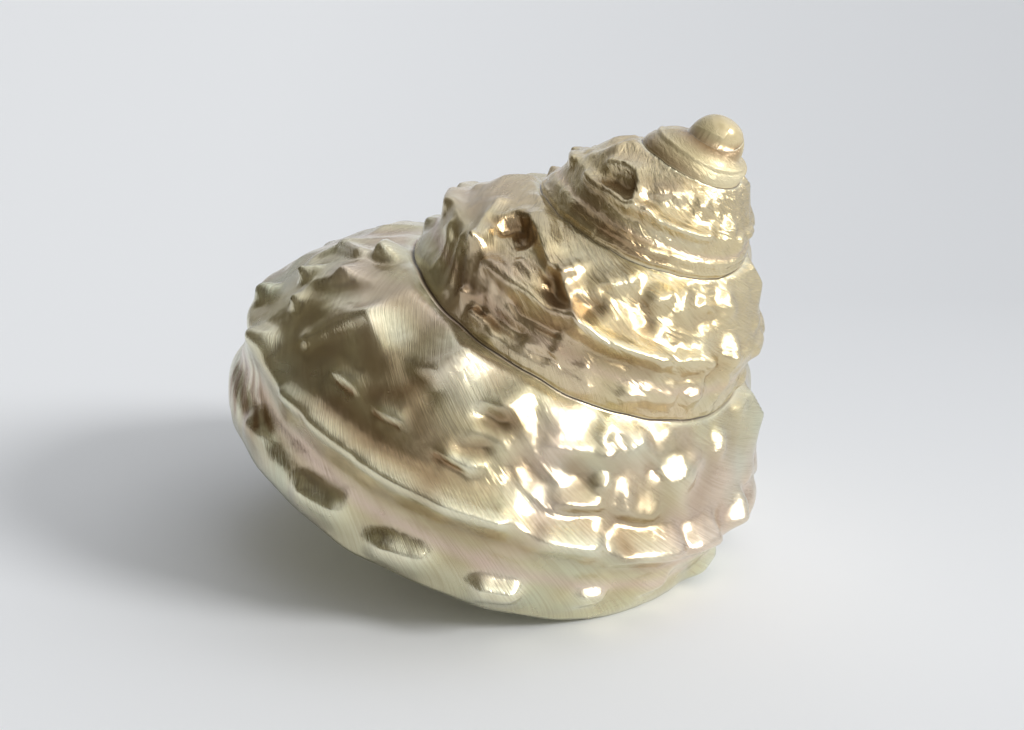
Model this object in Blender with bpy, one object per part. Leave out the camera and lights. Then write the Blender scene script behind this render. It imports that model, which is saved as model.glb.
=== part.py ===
# A large top shell, polished down to its mother of pearl, lying on its mouth.
#
# The shell is one grown piece. Its wall is swept by one growth line that winds down
# from the apex: every row of the mesh is a growth line, and every column runs along
# the whorls from the suture (where a whorl meets the one above) to the lower keel.
# The lower keel of one whorl is the suture of the next, so the two share vertices.
# The last growth line is the lip. From there the surface turns into the mouth and
# lines the hollow of the last whorl, which ends out of sight behind the pillar.
#
# Turns are counted along the growth. Turn 0 faces the left of the resting shell,
# -0.25 its front, -0.5 its right, and each full turn before that is an older whorl.

import math

import bmesh
import bpy
import numpy as np
from mathutils import Matrix, Vector

MM = 0.001

# Size and spiral: radius of the suture, and its drop below the apex, at whole turns
FIRST_TURN = -4
SUTURE_RADIUS_MM = (2.5, 4.5, 9.4, 19.4, 31.2, 45.5)
SUTURE_DROP_MM = (1.3, 4.2, 9.6, 25.2, 45.2, 85.8)

# Growth lines: the lip lies back along the whorl from the suture to the lower keel
LIP_TURN = 0.52
LIP_LAG_TURN = 0.25
LIP_LAG_CURVE = 1.3
BASAL_LIP_BOW_TURN = 0.012
WOUND_TURNS = 4.5

# Wall: swell outward over the chord from suture to lower keel, as a share of the chord
UPPER_KEEL = 0.65
WALL_PLACES = (0.0, 0.12, 0.30, 0.50, UPPER_KEEL, 0.74, 0.83, 0.93, 1.0)
WALL_SWELL = (0.0, 0.055, 0.115, 0.160, 0.177, 0.122, 0.077, 0.045, 0.0)
YOUNG_TURN = -0.4
YOUNG_SPAN = 1.6
YOUNG_FLATTER = 0.45
YOUNG_CALM = 0.60
LATE_SWELL_MM = 2.8
LATE_SWELL_TURN = -0.10
LATE_SWELL_SPAN = 0.20

# Base: from the lower keel in to the columella, the pillar on the axis
PILLAR_RADIUS_MM = 4.0
CONE_EARLY = 0.38
CONE_LATE = -0.22
CONE_TURNS = (-0.5, 0.27)
BASE_SWELL = 0.08
FOOT_DROP_MM = 93.0

# Rows of knobs, at full size on the last whorl: the long knobs of the upper keel
KEEL_KNOBS_PER_TURN = 19
KEEL_KNOB_TURN = -0.122
KEEL_KNOB_HALF = 0.045
KEEL_KNOB_SHARPNESS = 1.1
KEEL_KNOB_MM = 2.6

# The rounder knobs of the lower keel
RIM_KNOBS_PER_TURN = 15
RIM_KNOB_TURN = -0.185
RIM_KNOB_PLACE = 0.94
RIM_KNOB_HALF = 0.05
RIM_KNOB_SHARPNESS = 1.3
RIM_KNOB_MM = 2.4

# The small beads in mid wall
BEADS_PER_TURN = 24
BEAD_TURN = -0.093
BEAD_PLACE = 0.455
BEAD_HALF = 0.035
BEAD_SHARPNESS = 1.6
BEAD_MM = 1.6

# Folds from the suture down the wall: high on the left of the last whorl, calm in front
FOLDS_PER_TURN = 18
FOLD_TURN = -0.055
FOLD_LEAN_TURN = 0.02
FOLD_TOP_SPAN = 0.14
FOLD_END_PLACE = 0.62
FOLD_END_SPAN = 0.25
FOLD_SHARPNESS = 1.2
FOLD_TROUGH = 0.35
FOLD_MM = 3.4
FOLD_QUIET_MM = 1.5
FOLD_QUIET_TURN = -0.17
FOLD_QUIET_SPAN = 0.12

# One larger nub under the upper keel on the left, and the bulge of the wall below it
NUB_TURN = 0.012
NUB_PLACE = 0.73
NUB_HALF_TURN = 0.016
NUB_HALF = 0.06
NUB_MM = 3.0
BULGE_TURN = 0.01
BULGE_PLACE = 0.90
BULGE_HALF_TURN = 0.045
BULGE_HALF = 0.11
BULGE_MM = 1.6

# Hollow of the last whorl: the coils behind it are solid
WALL_MM = 2.2
CALLUS_MM = 0.8
LIP_ROUND_TURN = 0.003
LIP_ROUND_DEPTH = 0.45
HOLLOW_TURNS = 0.75
LEAST_HOLLOW = 0.5

# Mesh steps before it is thinned to its final number of faces
ROWS_PER_TURN = 120
WALL_COLUMNS = 36
BASE_COLUMNS = 14
HOLLOW_ROWS_PER_TURN = 60
APEX_RINGS = 4
APEX_HEIGHT_MM = 0.9
FACES_WANTED = 9600

# Rest: how the axis leans when the shell lies on its mouth, and where the apex is
LEAN_DEG = 34.1
LEAN_TOWARDS_DEG = -25.8
SPIN_DEG = -149.7
APEX_AT_MM = (37.48, -23.65, 76.1)
FLOOR_BLOCK_M = 0.2

NACRE_RGB = (0.72, 0.64, 0.47)
NACRE_ROUGHNESS = 0.28
NACRE_METALLIC = 0.55


def clear_scene():
    for item in list(bpy.data.objects):
        bpy.data.objects.remove(item, do_unlink=True)


def smooth_step(x):
    x = np.clip(x, 0.0, 1.0)
    return x * x * (3.0 - 2.0 * x)


def spline_bends(values):
    """Logarithms of the values, and the bends of a natural cubic spline through them."""
    logs = np.log(values)
    count = len(logs)
    system = np.eye(count)
    right = np.zeros(count)
    for i in range(1, count - 1):
        system[i, i - 1:i + 2] = (1.0, 4.0, 1.0)
        right[i] = 6.0 * (logs[i + 1] - 2.0 * logs[i] + logs[i - 1])
    return logs, np.linalg.solve(system, right)


def grown(turn, curve):
    """A growing length at any turn: smooth between the whole turns, steady past the last."""
    logs, bends = curve
    last = len(logs) - 1
    x = np.asarray(turn, float) - FIRST_TURN
    inside = np.clip(x, 0.0, last)
    k = np.clip(np.floor(inside).astype(int), 0, last - 1)
    a = inside - k
    b = 1.0 - a
    value = b * logs[k] + a * logs[k + 1]
    value = value + ((b ** 3 - b) * bends[k] + (a ** 3 - a) * bends[k + 1]) / 6.0
    first_slope = logs[1] - logs[0] - (2.0 * bends[0] + bends[1]) / 6.0
    last_slope = logs[-1] - logs[-2] + (bends[-2] + 2.0 * bends[-1]) / 6.0
    value = value + np.minimum(x, 0.0) * first_slope + np.maximum(x - last, 0.0) * last_slope
    return np.exp(value)


RADIUS_CURVE = spline_bends(SUTURE_RADIUS_MM)
DROP_CURVE = spline_bends(SUTURE_DROP_MM)


def radius_at(turn):
    return grown(turn, RADIUS_CURVE)


def drop_at(turn):
    return grown(turn, DROP_CURVE)


def on_shell(turn, radius, drop):
    """A point from its turn, its distance from the axis and its drop below the apex."""
    turn, radius, drop = np.broadcast_arrays(turn, radius, drop)
    angle = -2.0 * math.pi * turn
    return np.stack([radius * np.cos(angle), radius * np.sin(angle), -drop], axis=-1)


def lag_at(place):
    """How far a growth line lies back at a place across the wall, in turns."""
    return LIP_LAG_TURN * (1.0 - (1.0 - np.clip(place, 0.0, 1.0)) ** LIP_LAG_CURVE)


def base_lag_at(inward):
    """The same across the base, where the growth line bows forward on its way in."""
    return LIP_LAG_TURN - BASAL_LIP_BOW_TURN * np.sin(math.pi * np.clip(inward, 0.0, 1.0))


def curve_through(xs, ys, x):
    """A smooth curve through points, with no overshoot to speak of."""
    xs = np.array(xs)
    ys = np.array(ys)
    steps = np.diff(xs)
    slopes = np.diff(ys) / steps
    tangents = np.empty(len(xs))
    tangents[0] = slopes[0]
    tangents[-1] = slopes[-1]
    tangents[1:-1] = (slopes[1:] * steps[:-1] + slopes[:-1] * steps[1:]) / (steps[:-1] + steps[1:])
    k = np.clip(np.searchsorted(xs, x, side="right") - 1, 0, len(xs) - 2)
    u = (x - xs[k]) / steps[k]
    value = ys[k] * (1 + 2 * u) * (1 - u) ** 2 + ys[k + 1] * u * u * (3 - 2 * u)
    return value + steps[k] * (tangents[k] * u * (1 - u) ** 2 + tangents[k + 1] * u * u * (u - 1))


def bell(distance, width):
    return np.exp(-(distance / width) ** 2)


def row_of_knobs(turn, place, per_turn, first_turn, at_place, half_width, sharpness):
    """Repeated knobs along a whorl, each rising to 1, centred on one line across the wall."""
    wave = np.cos(2.0 * math.pi * per_turn * (turn - first_turn))
    return np.exp(sharpness * (wave - 1.0)) * bell(place - at_place, half_width)


def relief_mm(turn, place):
    """Height of knobs, beads and folds over the smooth wall, before scaling by size."""
    keel = row_of_knobs(turn, place, KEEL_KNOBS_PER_TURN, KEEL_KNOB_TURN,
                        UPPER_KEEL, KEEL_KNOB_HALF, KEEL_KNOB_SHARPNESS)
    rim = row_of_knobs(turn, place, RIM_KNOBS_PER_TURN, RIM_KNOB_TURN,
                       RIM_KNOB_PLACE, RIM_KNOB_HALF, RIM_KNOB_SHARPNESS)
    beads = row_of_knobs(turn, place, BEADS_PER_TURN, BEAD_TURN,
                         BEAD_PLACE, BEAD_HALF, BEAD_SHARPNESS)
    left_side = smooth_step((turn - FOLD_QUIET_TURN) / FOLD_QUIET_SPAN)
    fold_size = FOLD_QUIET_MM + (FOLD_MM - FOLD_QUIET_MM) * left_side
    upper = smooth_step(place / FOLD_TOP_SPAN)
    upper = upper * smooth_step((FOLD_END_PLACE - place) / FOLD_END_SPAN)
    leaning = turn - FOLD_LEAN_TURN * place
    wave = np.cos(2.0 * math.pi * FOLDS_PER_TURN * (leaning - FOLD_TURN))
    folds = upper * (np.exp(FOLD_SHARPNESS * (wave - 1.0)) - FOLD_TROUGH)
    height = KEEL_KNOB_MM * keel + RIM_KNOB_MM * rim + BEAD_MM * beads + fold_size * folds
    young = smooth_step((YOUNG_TURN - turn) / YOUNG_SPAN)
    height = height * (1.0 - YOUNG_CALM * young)
    nub = bell(turn - NUB_TURN, NUB_HALF_TURN) * bell(place - NUB_PLACE, NUB_HALF)
    bulge = bell(turn - BULGE_TURN, BULGE_HALF_TURN) * bell(place - BULGE_PLACE, BULGE_HALF)
    return height + NUB_MM * nub + BULGE_MM * bulge


def wall_point(turn, place, relief=True):
    """A point of the outer wall, by its turn and its place from suture 0 to lower keel 1."""
    turn, place = np.broadcast_arrays(np.asarray(turn, float), np.asarray(place, float))
    radius = radius_at(turn)
    drop = drop_at(turn)
    out = radius_at(turn + 1.0) - radius
    down = drop_at(turn + 1.0) - drop
    chord = np.hypot(out, down)
    plain = 1.0 - YOUNG_FLATTER * smooth_step((YOUNG_TURN - turn) / YOUNG_SPAN)
    swell = curve_through(WALL_PLACES, WALL_SWELL, place) * plain * chord
    late = smooth_step((turn - LATE_SWELL_TURN) / LATE_SWELL_SPAN)
    swell = swell + LATE_SWELL_MM * late * np.sin(math.pi * np.clip(place, 0.0, 1.0)) ** 2
    if relief:
        size = radius_at(turn + 1.0) / SUTURE_RADIUS_MM[-1]
        swell = swell + relief_mm(turn, place) * size
    return on_shell(turn, radius + out * place + swell * down / chord,
                    drop + down * place - swell * out / chord)


def base_point(turn, inward):
    """A point of the base, by its turn and its place from lower keel 0 to pillar 1."""
    turn, inward = np.broadcast_arrays(np.asarray(turn, float), np.asarray(inward, float))
    keel_radius = radius_at(turn + 1.0)
    keel_drop = drop_at(turn + 1.0)
    lateness = np.clip((turn - CONE_TURNS[0]) / (CONE_TURNS[1] - CONE_TURNS[0]), 0.0, 1.0)
    cone = CONE_EARLY + (CONE_LATE - CONE_EARLY) * lateness
    pillar_radius = PILLAR_RADIUS_MM * keel_radius / SUTURE_RADIUS_MM[-1]
    out = pillar_radius - keel_radius
    down = cone * keel_radius
    chord = np.hypot(out, down)
    swell = BASE_SWELL * (1.0 - lateness) * chord * np.sin(math.pi * inward)
    return on_shell(turn, keel_radius + out * inward + swell * down / chord,
                    keel_drop + down * inward - swell * out / chord)


def shell_mesh_data():
    """Vertices in millimetres and faces of the closed shell, in its own upright frame."""
    back_rows = round(LIP_LAG_TURN * ROWS_PER_TURN)
    shift = ROWS_PER_TURN - back_rows
    last = round(WOUND_TURNS * ROWS_PER_TURN)
    open_row = last - shift
    stages = LIP_TURN + (np.arange(last + 1) - last) / ROWS_PER_TURN
    places = np.linspace(0.0, 1.0, WALL_COLUMNS + 1)
    inwards = np.linspace(0.0, 1.0, BASE_COLUMNS + 1)

    wall = wall_point(stages[:, None] - lag_at(places)[None, :], places[None, :])
    points = [wall[:, :-1].reshape(-1, 3)]
    count = (last + 1) * WALL_COLUMNS
    keel_start = count
    points.append(wall[open_row + 1:, -1])
    count += last - open_row
    base_start = count
    base_turns = stages[open_row:, None] - base_lag_at(inwards[None, 1:])
    base = base_point(base_turns, inwards[None, 1:])
    points.append(base.reshape(-1, 3))
    count += base.shape[0] * BASE_COLUMNS
    foot = count
    points.append(np.array([[0.0, 0.0, -FOOT_DROP_MM]]))
    count += 1

    def wall_id(row, column):
        if column < WALL_COLUMNS:
            return row * WALL_COLUMNS + column
        if row <= open_row:
            return (row + shift) * WALL_COLUMNS
        return keel_start + row - open_row - 1

    def base_id(row, column):
        if column == 0:
            return wall_id(row, WALL_COLUMNS)
        return base_start + (row - open_row) * BASE_COLUMNS + column - 1

    faces = []
    for row in range(last):
        for column in range(WALL_COLUMNS):
            faces.append((wall_id(row, column), wall_id(row, column + 1),
                          wall_id(row + 1, column + 1), wall_id(row + 1, column)))
    for row in range(open_row, last):
        for column in range(BASE_COLUMNS):
            faces.append((base_id(row, column), base_id(row, column + 1),
                          base_id(row + 1, column + 1), base_id(row + 1, column)))
        faces.append((base_id(row, BASE_COLUMNS), foot, base_id(row + 1, BASE_COLUMNS)))

    # Apex: the loop round the first whorl closes in rings to a small dome
    loop = [wall_id(0, column) for column in range(WALL_COLUMNS + 1)]
    loop += [wall_id(row, 0) for row in range(shift - 1, 0, -1)]
    so_far = np.concatenate(points)
    edge = so_far[loop]
    for ring in range(1, APEX_RINGS):
        share = 1.0 - ring / APEX_RINGS
        rise = (APEX_HEIGHT_MM - edge[:, 2]) * math.sqrt(1.0 - share * share)
        inner = np.column_stack([edge[:, :2] * share, edge[:, 2] + rise])
        points.append(inner)
        inner_loop = list(range(count, count + len(loop)))
        count += len(loop)
        faces += bridge(loop, inner_loop)
        loop = inner_loop
    points.append(np.array([[0.0, 0.0, APEX_HEIGHT_MM]]))
    faces += fan(loop, count)
    count += 1

    # Mouth: from the lip's edge, ring by ring, back into the hollow
    loop = [wall_id(last, column) for column in range(WALL_COLUMNS + 1)]
    loop += [base_id(last, column) for column in range(1, BASE_COLUMNS + 1)]
    loop.append(foot)
    loop += [base_id(open_row, column) for column in range(BASE_COLUMNS, 0, -1)]
    rings = [hollow_ring(LIP_TURN + LIP_ROUND_TURN, places, inwards, LIP_ROUND_DEPTH)]
    steps = round(HOLLOW_TURNS * HOLLOW_ROWS_PER_TURN)
    for step in range(1, steps + 1):
        rings.append(hollow_ring(LIP_TURN - step / HOLLOW_ROWS_PER_TURN, places, inwards, 1.0))
    for ring in rings:
        points.append(ring)
        inner_loop = list(range(count, count + len(loop)))
        count += len(loop)
        faces += bridge(loop, inner_loop)
        loop = inner_loop
    points.append(rings[-1].mean(axis=0, keepdims=True))
    faces += fan(loop, count)
    return np.concatenate(points), faces


def hollow_ring(stage, places, inwards, depth):
    """The hollow's outline at one growth stage: the whorl's own outline, set in by the wall."""
    wall = wall_point(stage - lag_at(places), places, relief=False)
    base = base_point(stage - base_lag_at(inwards[1:]), inwards[1:])
    roof_stage = stage - 1.0 + LIP_LAG_TURN
    roof = base_point(roof_stage - base_lag_at(inwards[:0:-1]), inwards[:0:-1])
    foot = (base[-1:] + roof[:1]) / 2.0
    outline = np.concatenate([wall, base, foot, roof])
    centre = (wall.mean(axis=0) + base.mean(axis=0) + roof.mean(axis=0)) / 3.0
    inward = centre - outline
    far = np.linalg.norm(inward, axis=1, keepdims=True)
    thickness = np.full((len(outline), 1), WALL_MM)
    thickness[-len(roof):] = CALLUS_MM
    size = radius_at(stage) / SUTURE_RADIUS_MM[-1]
    set_in = np.minimum(thickness * depth * math.sqrt(size), LEAST_HOLLOW * far)
    return outline + inward / far * set_in


def bridge(outer, inner):
    count = len(outer)
    quads = []
    for k in range(count):
        after = (k + 1) % count
        quads.append((outer[k], outer[after], inner[after], inner[k]))
    return quads


def fan(loop, tip):
    count = len(loop)
    return [(loop[k], loop[(k + 1) % count], tip) for k in range(count)]


def rest_matrix():
    """From the upright shell in millimetres to where it lies, in metres."""
    lean = Matrix.Rotation(math.radians(LEAN_TOWARDS_DEG), 4, "Z")
    lean = lean @ Matrix.Rotation(math.radians(LEAN_DEG), 4, "Y")
    lean = lean @ Matrix.Rotation(math.radians(SPIN_DEG), 4, "Z")
    return Matrix.Translation(Vector(APEX_AT_MM) * MM) @ lean @ Matrix.Scale(MM, 4)


def nacre_material():
    material = bpy.data.materials.new("nacre")
    material.use_nodes = True
    shader = material.node_tree.nodes["Principled BSDF"]
    shader.inputs["Base Color"].default_value = (*NACRE_RGB, 1.0)
    shader.inputs["Roughness"].default_value = NACRE_ROUGHNESS
    shader.inputs["Metallic"].default_value = NACRE_METALLIC
    return material


def make_shell():
    points, faces = shell_mesh_data()
    mesh = bpy.data.meshes.new("shell")
    mesh.from_pydata(points.tolist(), [], faces)
    mesh.transform(rest_matrix())
    solid = bmesh.new()
    solid.from_mesh(mesh)
    bmesh.ops.triangulate(solid, faces=solid.faces)
    bmesh.ops.recalc_face_normals(solid, faces=solid.faces)
    triangles = len(solid.faces)
    solid.to_mesh(mesh)
    solid.free()
    mesh.shade_smooth()
    mesh.materials.append(nacre_material())
    shell = bpy.data.objects.new("shell", mesh)
    bpy.context.scene.collection.objects.link(shell)
    thin = shell.modifiers.new("fewer faces", "DECIMATE")
    thin.decimate_type = "COLLAPSE"
    thin.ratio = FACES_WANTED / triangles
    return shell


def floor_block():
    """A block whose top is the resting plane: it cuts the small worn flats."""
    mesh = bpy.data.meshes.new("floor_block")
    block = bmesh.new()
    bmesh.ops.create_cube(block, size=FLOOR_BLOCK_M)
    bmesh.ops.translate(block, vec=(0.0, 0.0, -FLOOR_BLOCK_M / 2.0), verts=block.verts)
    block.to_mesh(mesh)
    block.free()
    cutter = bpy.data.objects.new("floor_block", mesh)
    bpy.context.scene.collection.objects.link(cutter)
    cutter.hide_render = True
    cutter.display_type = "WIRE"
    return cutter


def wear_flats(shell):
    cut = shell.modifiers.new("worn flats", "BOOLEAN")
    cut.operation = "DIFFERENCE"
    cut.solver = "EXACT"
    cut.object = floor_block()


def main():
    clear_scene()
    wear_flats(make_shell())


main()
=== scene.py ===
# %% [markdown]
# # A top shell, polished to its mother of pearl
# This lesson dresses one seashell. The frame brings in a plain solid of it at real
# size, lying on its mouth with the floor at height 0. We build a finer skin in the
# same place, give it a nacre finish, and light it as on a table by a window.
# Every length below that ends in `_MM` is in millimetres. Blender works in metres.

import math

import bmesh
import bpy
import numpy as np
from mathutils import Matrix, Vector


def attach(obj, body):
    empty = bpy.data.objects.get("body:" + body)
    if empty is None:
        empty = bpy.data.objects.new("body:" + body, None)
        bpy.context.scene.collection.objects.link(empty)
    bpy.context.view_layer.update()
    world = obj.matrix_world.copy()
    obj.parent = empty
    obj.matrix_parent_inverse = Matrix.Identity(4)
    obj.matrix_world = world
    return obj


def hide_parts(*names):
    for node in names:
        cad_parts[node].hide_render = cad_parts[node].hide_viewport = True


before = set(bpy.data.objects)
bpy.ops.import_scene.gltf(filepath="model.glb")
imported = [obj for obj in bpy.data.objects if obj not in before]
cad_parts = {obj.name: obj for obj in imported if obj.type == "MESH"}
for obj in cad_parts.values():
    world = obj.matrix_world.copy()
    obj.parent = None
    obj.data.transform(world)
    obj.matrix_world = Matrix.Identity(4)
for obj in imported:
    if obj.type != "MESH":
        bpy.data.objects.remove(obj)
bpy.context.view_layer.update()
MM = 0.001


# %% [markdown]
# ## The spiral
# A snail grows by adding to one edge, so each whorl is a larger copy of the one
# before. Two lengths say it all: how far the seam between whorls lies from the axis,
# and how far it lies below the apex. We measure both once per turn and join the
# logarithms with a smooth spline, because growth multiplies and doesn't add.
# Turn 0 faces the left of the resting shell, -0.25 its front, -0.5 its right.

# %% Two lengths, measured once per turn
FIRST_TURN = -4
SUTURE_RADIUS_MM = (2.5, 4.5, 9.4, 19.4, 31.2, 45.5)
SUTURE_DROP_MM = (1.3, 4.2, 9.6, 25.2, 45.2, 85.8)
print("measured at", len(SUTURE_RADIUS_MM), "turns, the first", FIRST_TURN)

# %% A spline through the logarithms
def smooth_step(x):
    x = np.clip(x, 0.0, 1.0)
    return x * x * (3.0 - 2.0 * x)


def spline_bends(values):
    """Logarithms of the values, and the bends of a natural cubic spline through them."""
    logs = np.log(values)
    count = len(logs)
    system = np.eye(count)
    right = np.zeros(count)
    for i in range(1, count - 1):
        system[i, i - 1:i + 2] = (1.0, 4.0, 1.0)
        right[i] = 6.0 * (logs[i + 1] - 2.0 * logs[i] + logs[i - 1])
    return logs, np.linalg.solve(system, right)


def grown(turn, curve):
    """A growing length at any turn: smooth between the whole turns, steady past the last."""
    logs, bends = curve
    last = len(logs) - 1
    x = np.asarray(turn, float) - FIRST_TURN
    inside = np.clip(x, 0.0, last)
    k = np.clip(np.floor(inside).astype(int), 0, last - 1)
    a = inside - k
    b = 1.0 - a
    value = b * logs[k] + a * logs[k + 1]
    value = value + ((b ** 3 - b) * bends[k] + (a ** 3 - a) * bends[k + 1]) / 6.0
    first_slope = logs[1] - logs[0] - (2.0 * bends[0] + bends[1]) / 6.0
    last_slope = logs[-1] - logs[-2] + (bends[-2] + 2.0 * bends[-1]) / 6.0
    value = value + np.minimum(x, 0.0) * first_slope + np.maximum(x - last, 0.0) * last_slope
    return np.exp(value)


# %% The seam's distance and drop at any turn
RADIUS_CURVE = spline_bends(SUTURE_RADIUS_MM)
DROP_CURVE = spline_bends(SUTURE_DROP_MM)


def radius_at(turn):
    return grown(turn, RADIUS_CURVE)


def drop_at(turn):
    return grown(turn, DROP_CURVE)


print("last whorl reaches", round(float(radius_at(1.0)), 1), "mm from the axis")

# %% From a turn to a point
def on_shell(turn, radius, drop):
    """A point from its turn, its distance from the axis and its drop below the apex."""
    turn, radius, drop = np.broadcast_arrays(turn, radius, drop)
    angle = -2.0 * math.pi * turn
    return np.stack([radius * np.cos(angle), radius * np.sin(angle), -drop], axis=-1)


print("turn 0.5 lies at", on_shell(0.5, radius_at(0.5), drop_at(0.5)).round(1).tolist(), "mm")

# %% [markdown]
# ## Growth lines
# The lip of this kind of shell is slanted: its upper end, at the seam, has grown
# further round than its lower end. Old lips stay visible as growth lines, so we lay
# the rows of the mesh along them. Fine lines, folds and the lip itself then follow
# the grain of the shell for free.

# %% The slant of the lip
LIP_TURN = 0.52
LIP_LAG_TURN = 0.25
LIP_LAG_CURVE = 1.3
BASAL_LIP_BOW_TURN = 0.012
WOUND_TURNS = 4.5


def lag_at(place):
    """How far a growth line lies back at a place across the wall, in turns."""
    return LIP_LAG_TURN * (1.0 - (1.0 - np.clip(place, 0.0, 1.0)) ** LIP_LAG_CURVE)


def base_lag_at(inward):
    """The same across the base, where the growth line bows forward on its way in."""
    return LIP_LAG_TURN - BASAL_LIP_BOW_TURN * np.sin(math.pi * np.clip(inward, 0.0, 1.0))


print("seam to keel, a growth line runs back", float(lag_at(1.0)), "of a turn")

# %% [markdown]
# ## The profile of a whorl
# Cut through a whorl and you see a sloping wall, an upper keel, a hollow channel and
# a lower keel. We give the swell of the wall over a straight line from seam to lower
# keel at nine places and run a smooth curve through them.

# %% The swell of the wall
UPPER_KEEL = 0.65
WALL_PLACES = (0.0, 0.12, 0.30, 0.50, UPPER_KEEL, 0.74, 0.83, 0.93, 1.0)
WALL_SWELL = (0.0, 0.055, 0.115, 0.160, 0.177, 0.122, 0.077, 0.045, 0.0)


def curve_through(xs, ys, x):
    """A smooth curve through points, with no overshoot to speak of."""
    xs = np.array(xs)
    ys = np.array(ys)
    steps = np.diff(xs)
    slopes = np.diff(ys) / steps
    tangents = np.empty(len(xs))
    tangents[0] = slopes[0]
    tangents[-1] = slopes[-1]
    tangents[1:-1] = (slopes[1:] * steps[:-1] + slopes[:-1] * steps[1:]) / (steps[:-1] + steps[1:])
    k = np.clip(np.searchsorted(xs, x, side="right") - 1, 0, len(xs) - 2)
    u = (x - xs[k]) / steps[k]
    value = ys[k] * (1 + 2 * u) * (1 - u) ** 2 + ys[k + 1] * u * u * (3 - 2 * u)
    return value + steps[k] * (tangents[k] * u * (1 - u) ** 2 + tangents[k + 1] * u * u * (u - 1))


keel_swell = float(curve_through(WALL_PLACES, WALL_SWELL, UPPER_KEEL))
print("the upper keel stands out by", round(keel_swell, 3), "of the height of the wall")

# %% [markdown]
# ## The seam
# The seam of a grown shell is never a drawn line. Three waves of different length
# make it waver, and at one place, in front, it is drawn in a little.

# %% The wavering seam
SEAM_WAVER_MM = 0.45
SEAM_WAVES = ((0.5, 46.0, 0.0), (0.35, 83.0, 1.0), (0.25, 149.0, 2.0))
PINCH_MM = 1.5
PINCH_TURN = -1.03
PINCH_SPAN = 0.09


def bell(value, centre, half):
    return np.exp(-((value - centre) / half) ** 2)


def size_at(turn):
    """How large the whorl is at a turn, with 1 for the last whorl."""
    return radius_at(turn) / SUTURE_RADIUS_MM[-1]


def seam_drop(turn):
    waver = sum(share * np.sin(rate * turn + start) for share, rate, start in SEAM_WAVES)
    return drop_at(turn) + SEAM_WAVER_MM * waver * size_at(turn)


def seam_radius(turn):
    return radius_at(turn) - PINCH_MM * bell(np.asarray(turn, float), PINCH_TURN, PINCH_SPAN)


print("the seam wavers by", round(float(seam_drop(0.1) - drop_at(0.1)), 2), "mm at turn 0.1")

# %% [markdown]
# ## The wall
# The same profile serves every whorl, with three changes that the real shell shows:
# young whorls are flatter, the very first are evenly round, and the last one swells
# a little more towards the lip.

# %% Points of the wall
YOUNG_TURN = -0.4
YOUNG_SPAN = 1.6
YOUNG_FLATTER = 0.45
ROUND_TURN = -2.45
ROUND_SPAN = 0.45
ROUND_SWELL = 0.14
LATE_SWELL_MM = 2.8
LATE_SWELL_TURN = -0.10
LATE_SWELL_SPAN = 0.20


def wall_point(turn, place, raised_mm=0.0):
    """A point of the outer wall, by its turn and its place from seam 0 to lower keel 1."""
    turn, place = np.broadcast_arrays(np.asarray(turn, float), np.asarray(place, float))
    radius = seam_radius(turn)
    drop = seam_drop(turn)
    out = seam_radius(turn + 1.0) - radius
    down = seam_drop(turn + 1.0) - drop
    chord = np.hypot(out, down)
    plain = 1.0 - YOUNG_FLATTER * smooth_step((YOUNG_TURN - turn) / YOUNG_SPAN)
    swell = curve_through(WALL_PLACES, WALL_SWELL, place) * plain
    round_share = smooth_step((ROUND_TURN - turn) / ROUND_SPAN)
    swell = swell + round_share * (ROUND_SWELL * 4.0 * place * (1.0 - place) - swell)
    swell = swell * chord
    late = smooth_step((turn - LATE_SWELL_TURN) / LATE_SWELL_SPAN)
    swell = swell + LATE_SWELL_MM * late * np.sin(math.pi * np.clip(place, 0.0, 1.0)) ** 2
    swell = swell + raised_mm
    return on_shell(turn, radius + out * place + swell * down / chord,
                    drop + down * place - swell * out / chord)


print("upper keel at turn 0:", wall_point(0.0, UPPER_KEEL).round(1).tolist(), "mm")

# %% [markdown]
# ## The base
# Under the shell a nearly flat base runs in from the lower keel to the pillar on the
# axis. It is a cone on the old side and hollows towards the lip.

# %% Points of the base
PILLAR_RADIUS_MM = 4.0
CONE_EARLY = 0.38
CONE_LATE = -0.22
CONE_TURNS = (-0.5, 0.27)
BASE_SWELL = 0.08
FOOT_DROP_MM = 93.0


def base_point(turn, inward):
    """A point of the base, by its turn and its place from lower keel 0 to pillar 1."""
    turn, inward = np.broadcast_arrays(np.asarray(turn, float), np.asarray(inward, float))
    keel_radius = seam_radius(turn + 1.0)
    keel_drop = seam_drop(turn + 1.0)
    lateness = np.clip((turn - CONE_TURNS[0]) / (CONE_TURNS[1] - CONE_TURNS[0]), 0.0, 1.0)
    cone = CONE_EARLY + (CONE_LATE - CONE_EARLY) * lateness
    pillar_radius = PILLAR_RADIUS_MM * keel_radius / SUTURE_RADIUS_MM[-1]
    out = pillar_radius - keel_radius
    down = cone * keel_radius
    chord = np.hypot(out, down)
    swell = BASE_SWELL * (1.0 - lateness) * chord * np.sin(math.pi * inward)
    return on_shell(turn, keel_radius + out * inward + swell * down / chord,
                    keel_drop + down * inward - swell * out / chord)


print("half way in on the base at turn 0:", base_point(0.0, 0.5).round(1).tolist(), "mm")

# %% [markdown]
# ## Knobs, folds and beads
# The snail's mantle crimps as it grows, and leaves rows of knobs: a fold below the
# seam, a pinched bead in mid wall, a long knob on the upper keel and another on the
# lower. They could be sculpted by hand. We write them down instead, as strokes and
# pyramids added to a field of heights, so that each one can be moved or redrawn.
# Broad ones blend where they meet, which keeps them from piling up. Fine ones add.

# %% The field of heights
MEAN_SWELL = 0.12


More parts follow.
